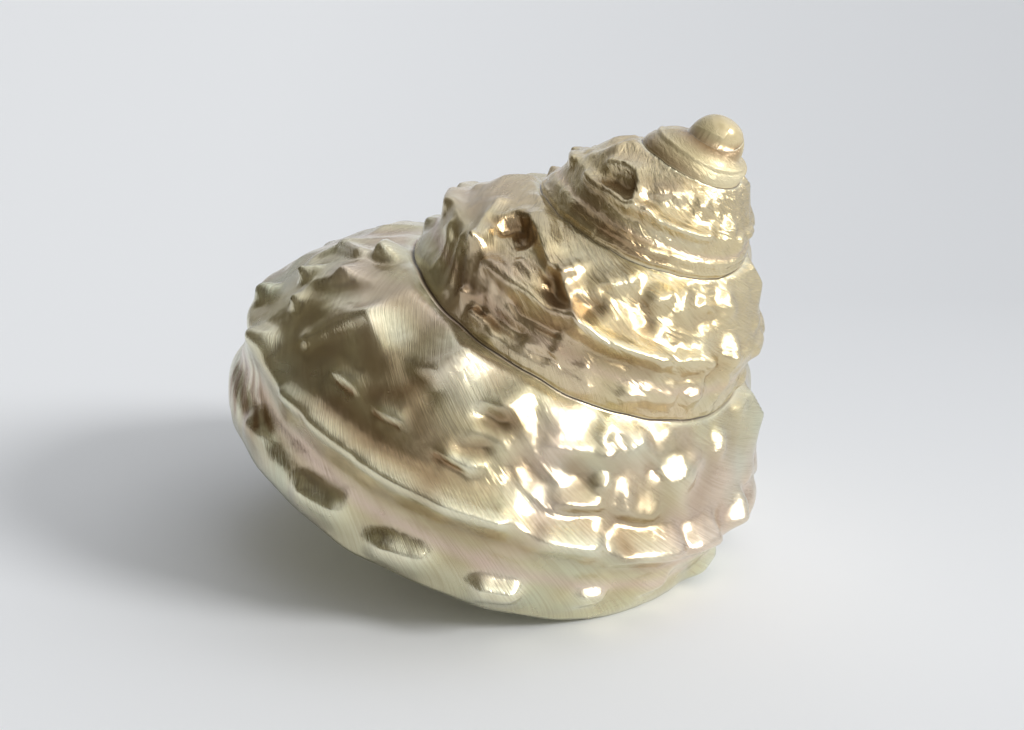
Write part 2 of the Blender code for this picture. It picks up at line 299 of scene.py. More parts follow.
class Relief:
    """Heights over a grid of turns and places, in millimetres."""

    def __init__(self, turn, place):
        self.turn = turn
        self.place = place
        self.highs = np.zeros(turn.shape)
        self.lows = np.zeros(turn.shape)
        self.fine = np.zeros(turn.shape)
        self.count = 0

    def height(self):
        return np.cbrt(self.highs) - np.cbrt(self.lows) + self.fine


def unit_lengths(turn, place):
    """The millimetres of one whole turn and of one whole place, at a spot."""
    out = radius_at(turn + 1.0) - radius_at(turn)
    chord = math.hypot(out, drop_at(turn + 1.0) - drop_at(turn))
    around = 2.0 * math.pi * (radius_at(turn) + out * place + MEAN_SWELL * chord)
    return around, chord


turn_mm, place_mm = unit_lengths(0.0, 0.5)
print("in mid wall a turn is", round(turn_mm), "mm long and the wall", round(place_mm), "mm high")

# %% [markdown]
# A stroke is a rounded ridge along a line of points. It has a width, a height and a
# sharpness: 2 is a round back, less is a sharper crest. A lean makes the left side of
# the line steeper than the right. Most have a round back and no lean, so those two
# may be left out. A negative height digs a hollow. Where two stretches of a line are
# equally near a point, the first one counts, so that rounding never decides.

# %% Strokes
FINE_BELOW_MM = 1.75
STROKE_REACH = 3.0
TINY = 1e-6


def add_stroke(relief, line, width_mm, height_mm, sharp=2.0, lean=0.0):
    line = np.array(line)
    around, chord = unit_lengths(*line.mean(axis=0))
    reach = STROKE_REACH * width_mm / around
    near = (relief.turn > line[:, 0].min() - reach) & (relief.turn < line[:, 0].max() + reach)
    x = relief.turn[near] * around
    y = relief.place[near] * chord
    closest = np.full(x.shape, np.inf)
    side = np.zeros(x.shape)
    ends = line * (around, chord)
    for (ax, ay), (bx, by) in zip(ends[:-1], ends[1:]):
        length = math.hypot(bx - ax, by - ay) + TINY
        east, north = (bx - ax) / length, (by - ay) / length
        along = np.clip((x - ax) * east + (y - ay) * north, 0.0, length)
        distance = np.hypot(x - ax - along * east, y - ay - along * north)
        across = (y - ay) * east - (x - ax) * north
        side = np.where(distance < closest - TINY, across / (distance + TINY), side)
        closest = np.minimum(closest, distance)
    rise = np.exp(-(closest / width_mm / (1.0 - lean * side)) ** sharp)
    if width_mm < FINE_BELOW_MM:
        relief.fine[near] += height_mm * rise
    elif height_mm > 0.0:
        relief.highs[near] += (height_mm * rise) ** 3
    else:
        relief.lows[near] += (-height_mm * rise) ** 3
    relief.count += 1


print("strokes narrower than", FINE_BELOW_MM, "mm count as fine")

# %% [markdown]
# The great folds are peaks with flat sides and crests that run down from the tip, as
# a tent has between its poles. We give the tip and the foot of each side. Towards
# each foot the ground is counted in steps, 1 at the foot, and the steps of all sides
# are joined by a power mean, which keeps the crests between the sides crisp.

# %% Pyramids
SIDE_POWER = 5
CREST_POWER = 0.4
TIP_ROUND = 0.004
TIP_LIFT = 0.063
FALL = 1.3
FAR_STEPS = 3.0
PYRAMID_REACH = 1.9
PYRAMID_FADE = 0.9


def add_pyramid(relief, tip, feet, height_mm):
    around, chord = unit_lengths(*tip)
    x = (relief.turn - tip[0]) * around
    y = (relief.place - tip[1]) * chord
    steps = np.zeros(x.shape)
    far = 0.0
    for turn, place in feet:
        east, north = (turn - tip[0]) * around, (place - tip[1]) * chord
        length = math.hypot(east, north)
        far = max(far, length)
        steps += np.clip((x * east + y * north) / length ** 2, 0.0, FAR_STEPS) ** SIDE_POWER
    steps = np.sqrt(steps ** CREST_POWER + TIP_ROUND) - TIP_LIFT
    fade = smooth_step((PYRAMID_REACH - np.hypot(x, y) / far) / PYRAMID_FADE)
    relief.highs += (height_mm * fade * np.exp(-FALL * steps)) ** 3
    relief.count += 1


print("a pyramid fades out at", PYRAMID_REACH, "times its longest side")

# %% [markdown]
# ## The relief in front
# What catches the eye in front is placed one by one. First the pyramids between seam and
# bead line, each with its tip, the foot of each side and its height in millimetres.
# Every spot is a turn and a place.

# %% The pyramids
PYRAMIDS = (
    ((-0.075, 0.20), ((0.000, 0.23), (-0.080, 0.45), (-0.125, 0.40), (-0.088, 0.10), (-0.036, 0.07)), 4.6),
    ((-0.023, 0.20), ((0.082, 0.40), (-0.028, 0.39), (-0.043, 0.22), (-0.025, 0.12), (0.032, 0.17)), 3.8),
    ((0.036, 0.20), ((0.072, 0.27), (0.012, 0.27), (0.018, 0.12), (0.070, 0.13)), 2.6),
    ((0.094, 0.18), ((0.140, 0.29), (0.075, 0.29), (0.085, 0.13), (0.140, 0.14)), 2.6),
    ((-0.134, 0.17), ((-0.106, 0.12), (-0.132, 0.33), (-0.164, 0.37), (-0.160, 0.17)), 4.2),
    ((-0.183, 0.15), ((-0.170, 0.09), (-0.176, 0.26), (-0.199, 0.26), (-0.202, 0.12)), 1.8),
)
print("pyramids in front:", len(PYRAMIDS))

# %% [markdown]
# Then the strokes of the last whorl. Each is a line of spots, with its width and
# height, and its sharpness and lean where they aren't the usual ones.

# %% The strokes of the last whorl
LAST_WHORL = (
    # edges and small folds between the pyramids
    (((-0.075, 0.20), (-0.071, 0.26), (-0.064, 0.34), (-0.059, 0.45)), 1.4, 0.8, 1.6, 0.4),
    (((-0.023, 0.20), (-0.024, 0.26), (-0.014, 0.34), (-0.025, 0.41)), 1.4, 0.8, 1.6, 0.4),
    (((0.035, 0.20), (0.031, 0.26), (0.027, 0.35), (-0.001, 0.36)), 1.3, 0.7, 1.6, 0.4),
    (((-0.026, 0.42), (-0.026, 0.42)), 1.5, 1.2),
    (((-0.001, 0.36), (-0.001, 0.36)), 1.2, 0.8),
    (((-0.058, 0.47), (-0.057, 0.47)), 1.3, 0.5),
    (((-0.256, 0.17), (-0.239, 0.20), (-0.227, 0.21)), 1.9, 0.9, 1.7, 0.3),
    (((-0.179, 0.29), (-0.167, 0.20)), 1.8, 0.6, 1.8, 0.0),
    (((-0.172, 0.16), (-0.189, 0.12)), 2.0, 0.9),
    (((-0.203, 0.04), (-0.224, 0.12)), 2.6, 0.8),
    # beads, with a nick under each
    (((-0.105, 0.43), (-0.093, 0.44)), 1.5, 0.7, 2.2, 0.2),
    (((-0.139, 0.42), (-0.129, 0.44)), 1.5, 0.7, 2.2, 0.2),
    (((-0.189, 0.43), (-0.176, 0.43)), 1.6, 0.8, 2.2, 0.2),
    (((-0.270, 0.40), (-0.249, 0.42)), 1.4, 0.9, 2.0, 0.3),
    (((-0.312, 0.41), (-0.291, 0.39)), 1.5, 1.0, 2.0, 0.3),
    (((-0.107, 0.46), (-0.093, 0.47)), 0.7, -0.35),
    (((-0.142, 0.44), (-0.126, 0.46)), 0.7, -0.35),
    (((-0.186, 0.47), (-0.171, 0.46)), 0.7, -0.35),
    (((-0.276, 0.42), (-0.259, 0.46)), 0.7, -0.4),
    (((-0.317, 0.43), (-0.305, 0.47), (-0.290, 0.45)), 0.7, -0.4),
    # long knobs of the upper keel
    (((-0.098, 0.63), (-0.082, 0.66)), 2.4, 1.6, 2.0, 0.1),
    (((-0.133, 0.62), (-0.116, 0.63), (-0.108, 0.64)), 2.6, 2.1, 2.0, 0.1),
    (((-0.187, 0.61), (-0.163, 0.61), (-0.146, 0.62)), 2.6, 2.2, 2.0, 0.1),
    (((-0.219, 0.57), (-0.204, 0.59), (-0.194, 0.61)), 2.4, 2.5, 2.0, 0.1),
    (((-0.237, 0.57), (-0.225, 0.55)), 1.8, 0.9),
    (((-0.273, 0.56), (-0.249, 0.58)), 2.4, 2.1, 2.0, 0.1),
    (((-0.332, 0.56), (-0.307, 0.56), (-0.295, 0.57)), 2.3, 2.5, 2.0, 0.1),
    (((-0.369, 0.54), (-0.350, 0.55)), 2.3, 2.6, 2.0, 0.1),
    # knobs of the lower keel
    (((-0.067, 0.89), (-0.062, 0.90)), 2.8, 1.6, 2.2, 0.0),
    (((-0.141, 0.89), (-0.121, 0.92)), 2.6, 2.2),
    (((-0.195, 0.89), (-0.177, 0.91)), 2.6, 2.6),
    (((-0.249, 0.88), (-0.235, 0.90)), 2.2, 2.9),
    (((-0.299, 0.83), (-0.291, 0.84)), 2.0, 2.5),
    (((-0.343, 0.80), (-0.335, 0.81)), 2.0, 1.8),
    # knobs of the far shoulder, on the outline
    (((0.010, 0.56), (0.011, 0.55)), 2.2, 3.0),
    (((0.000, 0.34), (0.001, 0.32)), 2.0, 3.0),
    (((0.028, 0.21), (0.009, 0.15)), 2.0, 3.4),
    (((0.004, 0.06), (0.012, 0.04)), 2.6, 4.0),
    # the nub on the left and the bulge below it
    (((-0.038, 0.61), (-0.033, 0.63)), 2.9, 2.7, 2.4, 0.0),
    (((-0.024, 0.72), (-0.006, 0.76)), 1.7, 1.0, 2.6, 0.0),
    # single knobs on the right
    (((-0.256, 0.10), (-0.257, 0.10)), 1.1, 1.0),
    (((-0.264, 0.17), (-0.267, 0.17)), 2.0, 1.4),
    (((-0.285, 0.11), (-0.288, 0.10)), 2.0, 1.4),
    (((-0.268, 0.30), (-0.269, 0.30)), 1.4, 1.2),
    (((-0.286, 0.31), (-0.288, 0.32)), 1.2, 0.8),
    (((-0.335, 0.23), (-0.338, 0.24)), 2.4, 1.6),
    (((-0.348, 0.17), (-0.354, 0.18)), 1.4, 0.7),
    (((-0.387, 0.12), (-0.385, 0.15)), 1.7, 1.3),
    (((-0.439, 0.04), (-0.433, 0.05)), 2.2, 1.5),
    (((-0.413, 0.51), (-0.410, 0.54)), 2.3, 2.4),
    (((-0.312, 0.04), (-0.316, 0.06)), 1.5, 0.6),
    # hollows between the folds
    (((-0.122, 0.25), (-0.134, 0.23), (-0.142, 0.26)), 2.2, -0.7),
    (((-0.177, 0.23), (-0.187, 0.23)), 1.5, -1.3),
    (((-0.180, 0.39), (-0.188, 0.35)), 1.4, -0.8),
    (((-0.216, 0.36), (-0.232, 0.36)), 2.6, -0.6),
    (((-0.238, 0.30), (-0.257, 0.30)), 2.0, -0.6),
    (((-0.304, 0.21), (-0.309, 0.21)), 1.1, -0.7),
    # old lips that stayed as fine creases
    (((-0.341, 0.41), (-0.325, 0.28), (-0.311, 0.20), (-0.302, 0.14),
      (-0.284, 0.07), (-0.261, 0.07), (-0.249, 0.01)), 1.1, 0.45, 1.6, 0.4),
    (((-0.243, 0.46), (-0.231, 0.43), (-0.221, 0.41), (-0.210, 0.34),
      (-0.195, 0.29)), 0.8, 0.2, 1.6, 0.3),
    (((-0.242, 0.34), (-0.228, 0.32), (-0.211, 0.24), (-0.196, 0.17)), 0.8, 0.2, 1.6, 0.3),
    (((-0.293, 0.54), (-0.290, 0.48), (-0.283, 0.43)), 0.7, -0.4, 1.6, 0.0),
)
print("strokes on the last whorl:", len(LAST_WHORL))

# %% [markdown]
# The whorl before it is more crumpled. Its mark is a big hollow with an arch over it,
# where an old fold fell in.

# %% The strokes of the second whorl
SECOND_WHORL = (
    # the big hollow on the left, with the arch over it
    (((-1.132, 0.33), (-1.114, 0.28), (-1.089, 0.21), (-1.055, 0.17),
      (-1.041, 0.23), (-1.042, 0.33), (-1.049, 0.41), (-1.068, 0.52)), 1.5, 2.0, 1.6, 0.5),
    (((-1.050, 0.36), (-1.047, 0.27), (-1.080, 0.32)), 1.8, -1.6),
    # crumpled folds at the far left
    (((-1.015, 0.66), (-1.033, 0.73), (-1.045, 0.82)), 1.2, 0.9, 1.8, 0.3),
    (((-1.046, 0.64), (-1.063, 0.77), (-1.076, 0.88)), 1.2, 0.9, 1.8, 0.3),
    (((-1.067, 0.58), (-1.081, 0.72), (-1.097, 0.89)), 1.2, 0.9, 1.8, 0.3),
    (((-1.089, 0.64), (-1.098, 0.76), (-1.114, 0.90)), 1.1, 0.7, 1.8, 0.3),
    (((-1.108, 0.69), (-1.115, 0.79), (-1.138, 0.93)), 1.2, 0.7, 1.8, 0.3),
    # the next hollow and the folds round it
    (((-1.190, 0.59), (-1.174, 0.47), (-1.159, 0.41), (-1.148, 0.34)), 1.3, 1.7, 1.6, 0.5),
    (((-1.141, 0.45), (-1.129, 0.45), (-1.110, 0.45)), 1.3, 1.1, 1.7, 0.0),
    (((-1.143, 0.42), (-1.161, 0.53)), 1.5, -1.2),
    (((-1.148, 0.34), (-1.150, 0.23)), 1.0, 0.8, 1.8, 0.0),
    (((-1.001, 0.28), (-1.030, 0.40), (-1.065, 0.55)), 1.4, 1.2, 1.6, 0.4),
    (((-1.114, 0.21), (-1.069, 0.09), (-0.995, 0.01)), 1.3, 0.6, 1.8, 0.0),
    # knobs and hollows on the right
    (((-1.206, 0.14), (-1.191, 0.21)), 2.1, 1.4),
    (((-1.259, 0.17), (-1.247, 0.20)), 1.9, 1.4),
    (((-1.281, 0.21), (-1.278, 0.14)), 1.8, 1.2),
    (((-1.358, 0.14), (-1.364, 0.20)), 1.7, 1.2),
    (((-1.181, 0.44), (-1.193, 0.43)), 1.5, -1.2),
    (((-1.191, 0.28), (-1.193, 0.28)), 0.9, -0.6),
    (((-1.235, 0.27), (-1.249, 0.37)), 1.4, -0.9),
    (((-1.315, 0.30), (-1.333, 0.26)), 1.6, -0.6),
    (((-1.312, 0.17), (-1.334, 0.21)), 1.0, 0.7),
    # the cord of the upper keel, with a slit under it
    (((-1.176, 0.57), (-1.160, 0.59), (-1.140, 0.58), (-1.120, 0.61),
      (-1.097, 0.62)), 1.7, 1.7, 2.0, 0.3),
    (((-1.179, 0.69), (-1.162, 0.70), (-1.143, 0.71), (-1.131, 0.67)), 0.7, -1.0),
    (((-1.275, 0.62), (-1.259, 0.60), (-1.235, 0.60), (-1.214, 0.60),
      (-1.192, 0.60)), 1.7, 1.6, 2.0, 0.3),
    (((-1.248, 0.67), (-1.225, 0.68), (-1.206, 0.66)), 0.8, -0.6),
    (((-1.331, 0.56), (-1.319, 0.53), (-1.299, 0.54)), 1.3, 1.1),
    (((-1.369, 0.49), (-1.369, 0.53)), 2.0, 1.6),
    (((-1.352, 0.57), (-1.359, 0.60)), 0.9, -1.2),
    # the channel and the lower cord
    (((-1.182, 0.82), (-1.160, 0.82), (-1.138, 0.81), (-1.112, 0.83)), 1.3, -1.1),
    (((-1.187, 0.81), (-1.164, 0.83)), 1.1, 1.1, 2.0, 0.2),
    (((-1.121, 0.89), (-1.112, 0.90)), 0.9, 0.9),
    (((-1.095, 0.84), (-1.095, 0.84)), 1.1, 1.3),
    (((-1.328, 0.66), (-1.305, 0.70), (-1.281, 0.66)), 0.7, -0.5),
    (((-1.349, 0.63), (-1.343, 0.69)), 0.7, -0.6),
    (((-1.301, 0.84), (-1.279, 0.85), (-1.262, 0.89)), 1.9, 1.6, 2.0, 0.2),
    (((-1.332, 0.81), (-1.325, 0.83)), 1.6, 1.6),
    (((-1.367, 0.63), (-1.380, 0.76), (-1.369, 0.85)), 0.8, 0.7),
    (((-1.217, 0.81), (-1.228, 0.91)), 1.3, 0.7),
)
print("strokes on the second whorl:", len(SECOND_WHORL))

# %% [markdown]
# The third whorl has a sharp keel in short lengths, and small folds above it.

# %% The strokes of the third whorl
THIRD_WHORL = (
    # the sharp upper keel in four lengths
    (((-2.078, 0.62), (-2.038, 0.60)), 0.9, 1.1, 1.8, 0.3),
    (((-2.140, 0.61), (-2.102, 0.59)), 1.0, 1.2, 1.8, 0.3),
    (((-2.170, 0.58), (-2.146, 0.61)), 0.9, 0.9, 1.8, 0.3),
    (((-2.286, 0.56), (-2.262, 0.59), (-2.228, 0.58), (-2.198, 0.57),
      (-2.170, 0.54)), 1.0, 1.3, 1.8, 0.3),
    # its folds, knobs and hollows
    (((-2.145, 0.54), (-2.124, 0.36), (-2.095, 0.27), (-2.068, 0.28),
      (-2.047, 0.36)), 1.0, 1.3, 1.7, 0.5),
    (((-2.073, 0.41), (-2.106, 0.40)), 1.5, -0.9),
    (((-2.161, 0.29), (-2.167, 0.28)), 1.3, 0.8),
    (((-2.191, 0.21), (-2.199, 0.23)), 1.4, 0.9),
    (((-2.252, 0.25), (-2.259, 0.26)), 1.4, 0.8),
    (((-2.158, 0.43), (-2.167, 0.41)), 0.8, -0.6),
    (((-2.343, 0.43), (-2.349, 0.45)), 1.1, 0.9),
    (((-2.375, 0.65), (-2.377, 0.69)), 1.1, 0.9),
    (((-2.193, 0.34), (-2.235, 0.33)), 1.4, -0.4),
)
print("strokes on the third whorl:", len(THIRD_WHORL))

# %% [markdown]
# Some tones of the nacre follow no relief. Most are painted light: brown patches are
# painted shade and painted reflections of the dim room, pale ones painted highlights on
# crests, beads and knobs. Some brown is the nacre's own, and a striped fan at the left
# end is its grain. They are strokes as well, of colour and not of height: brown above
# zero, pale below. Each has its line, width and strength.

# %% The stains and painted light
# Brown strokes are mostly painted shade and painted reflections of the dim room, pale ones mostly painted
# highlights; some brown is the nacre's own.
STAINS_AND_PAINTED_LIGHT = (
    (((-0.107, 0.55), (-0.129, 0.55), (-0.156, 0.54), (-0.176, 0.55)), 3.0, 0.8),
    (((-0.118, 0.40), (-0.128, 0.33), (-0.133, 0.23)), 2.2, 0.8),
    (((-0.135, 0.32), (-0.154, 0.40), (-0.166, 0.46)), 2.8, 0.6),
    (((-0.074, 0.42), (-0.081, 0.51)), 4.5, 0.45),
    (((-0.082, 0.23), (-0.095, 0.28), (-0.106, 0.32)), 2.6, 0.55),
    (((-0.185, 0.21), (-0.194, 0.20)), 2.4, 0.9),
    (((-0.180, 0.39), (-0.188, 0.35)), 2.0, 0.6),
    (((-0.169, 0.39), (-0.176, 0.42)), 2.2, 0.5),
    (((-0.215, 0.35), (-0.231, 0.35)), 2.4, 0.5),
    (((-0.247, 0.27), (-0.257, 0.30)), 2.0, 0.6),
    (((-0.293, 0.53), (-0.295, 0.54)), 1.8, 0.8),
    (((-0.244, 0.53), (-0.269, 0.50)), 2.4, 0.3),
    (((-0.029, 0.41), (-0.043, 0.40)), 3.0, 0.3),
    (((-0.068, 0.86), (-0.085, 0.85)), 3.0, 0.5),
    (((-0.070, 0.10), (-0.062, 0.04)), 3.0, 0.35),
    (((-0.151, 0.13), (-0.171, 0.20)), 2.4, -0.7),
    (((-0.137, 0.18), (-0.155, 0.22)), 2.4, -0.5),
    (((-0.079, 0.18), (-0.096, 0.20)), 1.8, -0.9),
    (((-0.093, 0.62), (-0.120, 0.61)), 2.2, -0.4),
    (((-0.139, 0.66), (-0.166, 0.60)), 2.2, -0.5),
    (((-0.122, 0.07), (-0.139, 0.05)), 2.4, -0.4),
    (((-0.213, 0.04), (-0.285, 0.01)), 3.0, -0.3),
    (((-1.047, 0.35), (-1.047, 0.23), (-1.075, 0.30)), 1.8, 0.9),
    (((-1.143, 0.41), (-1.164, 0.54)), 1.6, 0.9),
    (((-1.070, 0.78), (-1.103, 0.83), (-1.129, 0.85)), 2.6, 0.7),
    (((-1.143, 0.71), (-1.172, 0.71)), 1.8, 0.6),
    (((-1.181, 0.44), (-1.200, 0.39)), 1.8, 0.6),
    (((-1.235, 0.27), (-1.249, 0.37)), 1.6, 0.5),
    (((-1.071, 0.56), (-1.106, 0.57)), 2.0, 0.4),
    (((-1.017, 0.52), (-0.988, 0.40)), 2.2, 0.4),
    (((-1.225, 0.49), (-1.300, 0.39)), 2.0, 0.3),
    (((-1.189, 0.77), (-1.223, 0.71), (-1.270, 0.69)), 1.6, 0.5),
    (((-1.134, 0.15), (-1.186, 0.06), (-1.237, 0.01)), 2.4, -0.5),
    (((-1.200, 0.58), (-1.246, 0.56)), 1.6, -0.5),
    (((-1.301, 0.42), (-1.330, 0.45)), 2.0, -0.3),
    (((-2.079, 0.49), (-2.106, 0.43)), 1.8, 0.8),
    (((-2.077, 0.85), (-2.130, 0.84), (-2.193, 0.84)), 1.4, 0.7),
    (((-2.137, 0.90), (-2.190, 0.95), (-2.236, 0.90)), 1.0, 0.6),
    (((-2.062, 0.68), (-2.097, 0.69)), 1.6, 0.5),
    (((-2.131, 0.27), (-2.164, 0.23)), 1.8, 0.5),
    (((-2.150, 0.34), (-2.252, 0.30)), 2.2, -0.3),
    (((-2.207, 0.64), (-2.275, 0.64)), 1.4, -0.4),
    (((-2.235, 0.33), (-2.257, 0.34)), 1.6, 0.4),
    (((-2.992, 0.93), (-3.082, 1.00), (-3.154, 0.97), (-3.202, 0.96)), 1.8, 0.7),
    (((-3.018, 0.03), (-3.152, 0.08), (-3.370, 0.01)), 1.8, 0.9),
    (((-2.934, 0.01), (-2.882, 0.00)), 1.8, 0.4),
    (((-3.204, 0.82), (-3.383, 0.78)), 1.8, -0.3),
    # Painted highlights on the beads, and painted shade in the nicks under them.
    (((-0.101, 0.43), (-0.094, 0.45)), 0.9, -1.3),
    (((-0.139, 0.42), (-0.133, 0.43)), 0.9, -1.3),
    (((-0.189, 0.43), (-0.179, 0.43)), 1.0, -1.3),
    (((-0.107, 0.46), (-0.094, 0.47)), 0.5, 1.2),
    (((-0.142, 0.44), (-0.127, 0.46)), 0.5, 1.2),
    (((-0.185, 0.46), (-0.171, 0.46)), 0.5, 1.2),
    (((-0.103, 0.26), (-0.115, 0.29)), 2.2, 0.5),
    (((-0.061, 0.14), (-0.056, 0.07)), 3.0, 0.45),
    (((-0.037, 0.59), (-0.008, 0.39), (0.011, 0.21), (0.006, 0.03)), 5.0, -0.5),
    (((-0.154, 0.14), (-0.171, 0.21)), 2.0, -0.5),
    (((-0.016, 0.86), (-0.042, 0.88), (-0.069, 0.89)), 2.6, 0.6),
    (((-0.054, 0.77), (-0.077, 0.82), (-0.108, 0.86)), 2.2, 0.4),
    (((-0.033, 0.29), (-0.054, 0.23)), 2.0, -0.6),
    (((-0.079, 0.14), (-0.093, 0.17)), 1.4, -0.5),
    (((-0.275, 0.55), (-0.251, 0.57)), 1.2, -0.6),
    (((-0.218, 0.56), (-0.197, 0.60)), 1.2, -0.5),
    (((-0.298, 0.34), (-0.318, 0.42)), 2.6, 0.35),
    (((-0.358, 0.38), (-0.376, 0.24)), 2.6, 0.3),
    (((-0.255, 0.12), (-0.276, 0.23)), 2.2, 0.35),
    (((-0.301, 0.08), (-0.341, 0.09)), 2.4, 0.3),
    (((-0.246, 0.41), (-0.269, 0.37)), 2.2, 0.35),
    # Painted highlights in the middle of the knobs of the lower keel.
    (((-0.178, 0.91), (-0.187, 0.90)), 1.5, -1.3),
    (((-0.237, 0.89), (-0.252, 0.88)), 1.5, -1.3),
    (((-0.109, 0.90), (-0.123, 0.89)), 1.2, -1.0),
    (((-0.074, 0.86), (-0.080, 0.86)), 1.2, -1.0),
    (((0.000, 0.81), (-0.006, 0.89), (-0.019, 0.94)), 0.7, 0.9),
    (((-0.007, 0.80), (-0.018, 0.87), (-0.034, 0.94)), 0.7, 0.9),
    (((-0.015, 0.77), (-0.030, 0.84), (-0.056, 0.91)), 0.7, 0.9),
    (((-0.030, 0.72), (-0.041, 0.81), (-0.068, 0.86)), 0.7, 0.9),
    (((-0.039, 0.70), (-0.051, 0.78), (-0.075, 0.83)), 0.7, 0.7),
    (((-0.010, 0.79), (-0.024, 0.86), (-0.043, 0.93)), 0.6, -0.8),
    (((-0.027, 0.73), (-0.036, 0.83), (-0.063, 0.88)), 0.6, -0.8),
    (((-0.034, 0.71), (-0.045, 0.80), (-0.072, 0.85)), 0.6, -0.8),
)
print("stains:", len(STAINS_AND_PAINTED_LIGHT))

# %% [markdown]
# ## The relief out of sight
# Where the photo can't see, folds, beads and knobs carry on at the same spacing, each
# a little different from the next and sized to its whorl. The spans of turns in front
# are left out, because they have their own strokes.

# %% Rows of folds, beads and knobs
rng = np.random.default_rng(7)
SEEN_SPANS = ((-0.40, 0.09), (-1.41, -0.97), (-2.40, -2.00))
FOLDS_PER_TURN = 15
FOLDS_FROM_TURN = -2.8
FOLD_PLACE = 0.21
FOLD_MM = 3.4
FOLD_REACH = 0.9
FOLD_SHIFT = 0.008
FOLD_LIFT = 0.03
FOLD_FEET = ((0.045, 0.01), (-0.010, 0.27), (-0.050, 0.18), (-0.024, -0.10))
ROW_SHIFT = 0.005
ROW_LIFT = 0.02
UNEVEN_HEIGHT = 0.3
UNEVEN_SPREAD = 0.2
PAST_LIP_TURN = 0.03
# First turn, number per turn, line, width, height, sharpness, lean
HIDDEN_ROWS = (
    # beads
    (-2.8, 22, ((-0.006, 0.46), (0.006, 0.46)), 1.6, 0.8, 2.0, 0.2),
    # knobs of the upper keel
    (-2.7, 19, ((-0.014, 0.64), (0.014, 0.64)), 2.2, 2.0, 2.0, 0.2),
    # knobs of the lower keel
    (-1.9, 15.5, ((-0.009, 0.90), (0.009, 0.90)), 2.4, 2.0, 2.0, 0.0),
)


def hidden_turns(first, per_turn):
    """Evenly spaced turns, without those where strokes are listed one by one."""
    turns = np.arange(first, LIP_TURN + PAST_LIP_TURN, 1.0 / per_turn)
    return [t for t in turns if not any(low < t < high for low, high in SEEN_SPANS)]


def add_hidden_folds(relief):
    for turn in hidden_turns(FOLDS_FROM_TURN, FOLDS_PER_TURN):
        size = float(size_at(turn + 1.0))
        shift, lift, spread, swell = rng.uniform(-1.0, 1.0, 4)
        tip = (turn + FOLD_SHIFT * shift, FOLD_PLACE + FOLD_LIFT * lift)
        reach = FOLD_REACH + UNEVEN_SPREAD * spread
        feet = [(tip[0] + reach * ahead, tip[1] + reach * across) for ahead, across in FOLD_FEET]
        add_pyramid(relief, tip, feet, FOLD_MM * (1.0 + UNEVEN_HEIGHT * swell) * size)


def add_hidden_row(relief, first, per_turn, line, width_mm, height_mm, sharp, lean):
    for turn in hidden_turns(first, per_turn):
        size = float(size_at(turn + 1.0))
        shift, lift, spread, swell = rng.uniform(-1.0, 1.0, 4)
        centre = turn + ROW_SHIFT * shift
        reach = 1.0 + UNEVEN_SPREAD * spread
        moved = [(centre + reach * ahead, place + ROW_LIFT * lift) for ahead, place in line]
        height = height_mm * (1.0 + UNEVEN_HEIGHT * swell) * size
        add_stroke(relief, moved, width_mm * size, height, sharp, lean)


print("folds out of sight:", len(hidden_turns(FOLDS_FROM_TURN, FOLDS_PER_TURN)))

# %% [markdown]
# ## Lumps
# Nothing grown is perfectly even. Soft random lumps over the whole wall keep it from
# looking turned on a lathe. A table of random numbers, blended smoothly from cell to
# cell, gives them.

# %% Smooth random lumps
# Size of a cell, height, seed
LUMPS = ((7.0, 0.30, 1), (3.3, 0.10, 2))


def lumps(points, cell_mm, seed):
    """Smooth random lumps from -1 to 1 at points in millimetres, one per cell or so."""
    table = np.random.default_rng(seed).uniform(-1.0, 1.0, (32, 32, 32))
    scaled = points / cell_mm
    low = np.floor(scaled).astype(int)
    part = scaled - low
    part = part * part * (3.0 - 2.0 * part)
    total = np.zeros(points.shape[:-1])
    for corner in np.ndindex(2, 2, 2):
        share = np.ones(points.shape[:-1])
        for axis in range(3):
            share = share * (part[..., axis] if corner[axis] else 1.0 - part[..., axis])
        spot = (low + corner) % 32
        total += share * table[spot[..., 0], spot[..., 1], spot[..., 2]]
    return total


print("a lump at the apex:", round(float(lumps(np.zeros(3), 7.0, 1)), 2))

# %% [markdown]
# ## Cords
# Along the upper keel runs a rounded cord, undercut from the front round to the left.
# The third whorl also has a broad cord and a thin one just above the seam, which fade
# out towards the apex. On the left, where the shell is widest, the lower wall swells.

# %% Cords and the bulge on the left
KEEL_CORD_MM = 1.0
KEEL_CORD_PLACE = 0.57
KEEL_CORD_HALF = 0.050
KEEL_CORD_CLIMB = 0.09
UNDERCUT_MM = 0.35
UNDERCUT_BELOW = 0.095
UNDERCUT_HALF = 0.028
BULGE_MM = 1.6
BROAD_CORD_MM = 1.9
BROAD_CORD_PLACE = 0.850
BROAD_CORD_HALF = 0.055
THIN_CORD_MM = 1.5
THIN_CORD_PLACE = 0.955
THIN_CORD_HALF = 0.024
FAINT_SHARE = 0.15


def keel_cord(turn, place):
    centre = KEEL_CORD_PLACE + KEEL_CORD_CLIMB * smooth_step((turn + 0.24) / 0.15)
    undercut = UNDERCUT_MM * smooth_step((-0.02 - turn) / 0.08)
    cord = KEEL_CORD_MM * bell(place, centre, KEEL_CORD_HALF)
    return cord - undercut * bell(place, centre + UNDERCUT_BELOW, UNDERCUT_HALF)


def left_bulge(turn, place):
    return BULGE_MM * bell(turn, 0.010, 0.045) * bell(place, 0.90, 0.11)


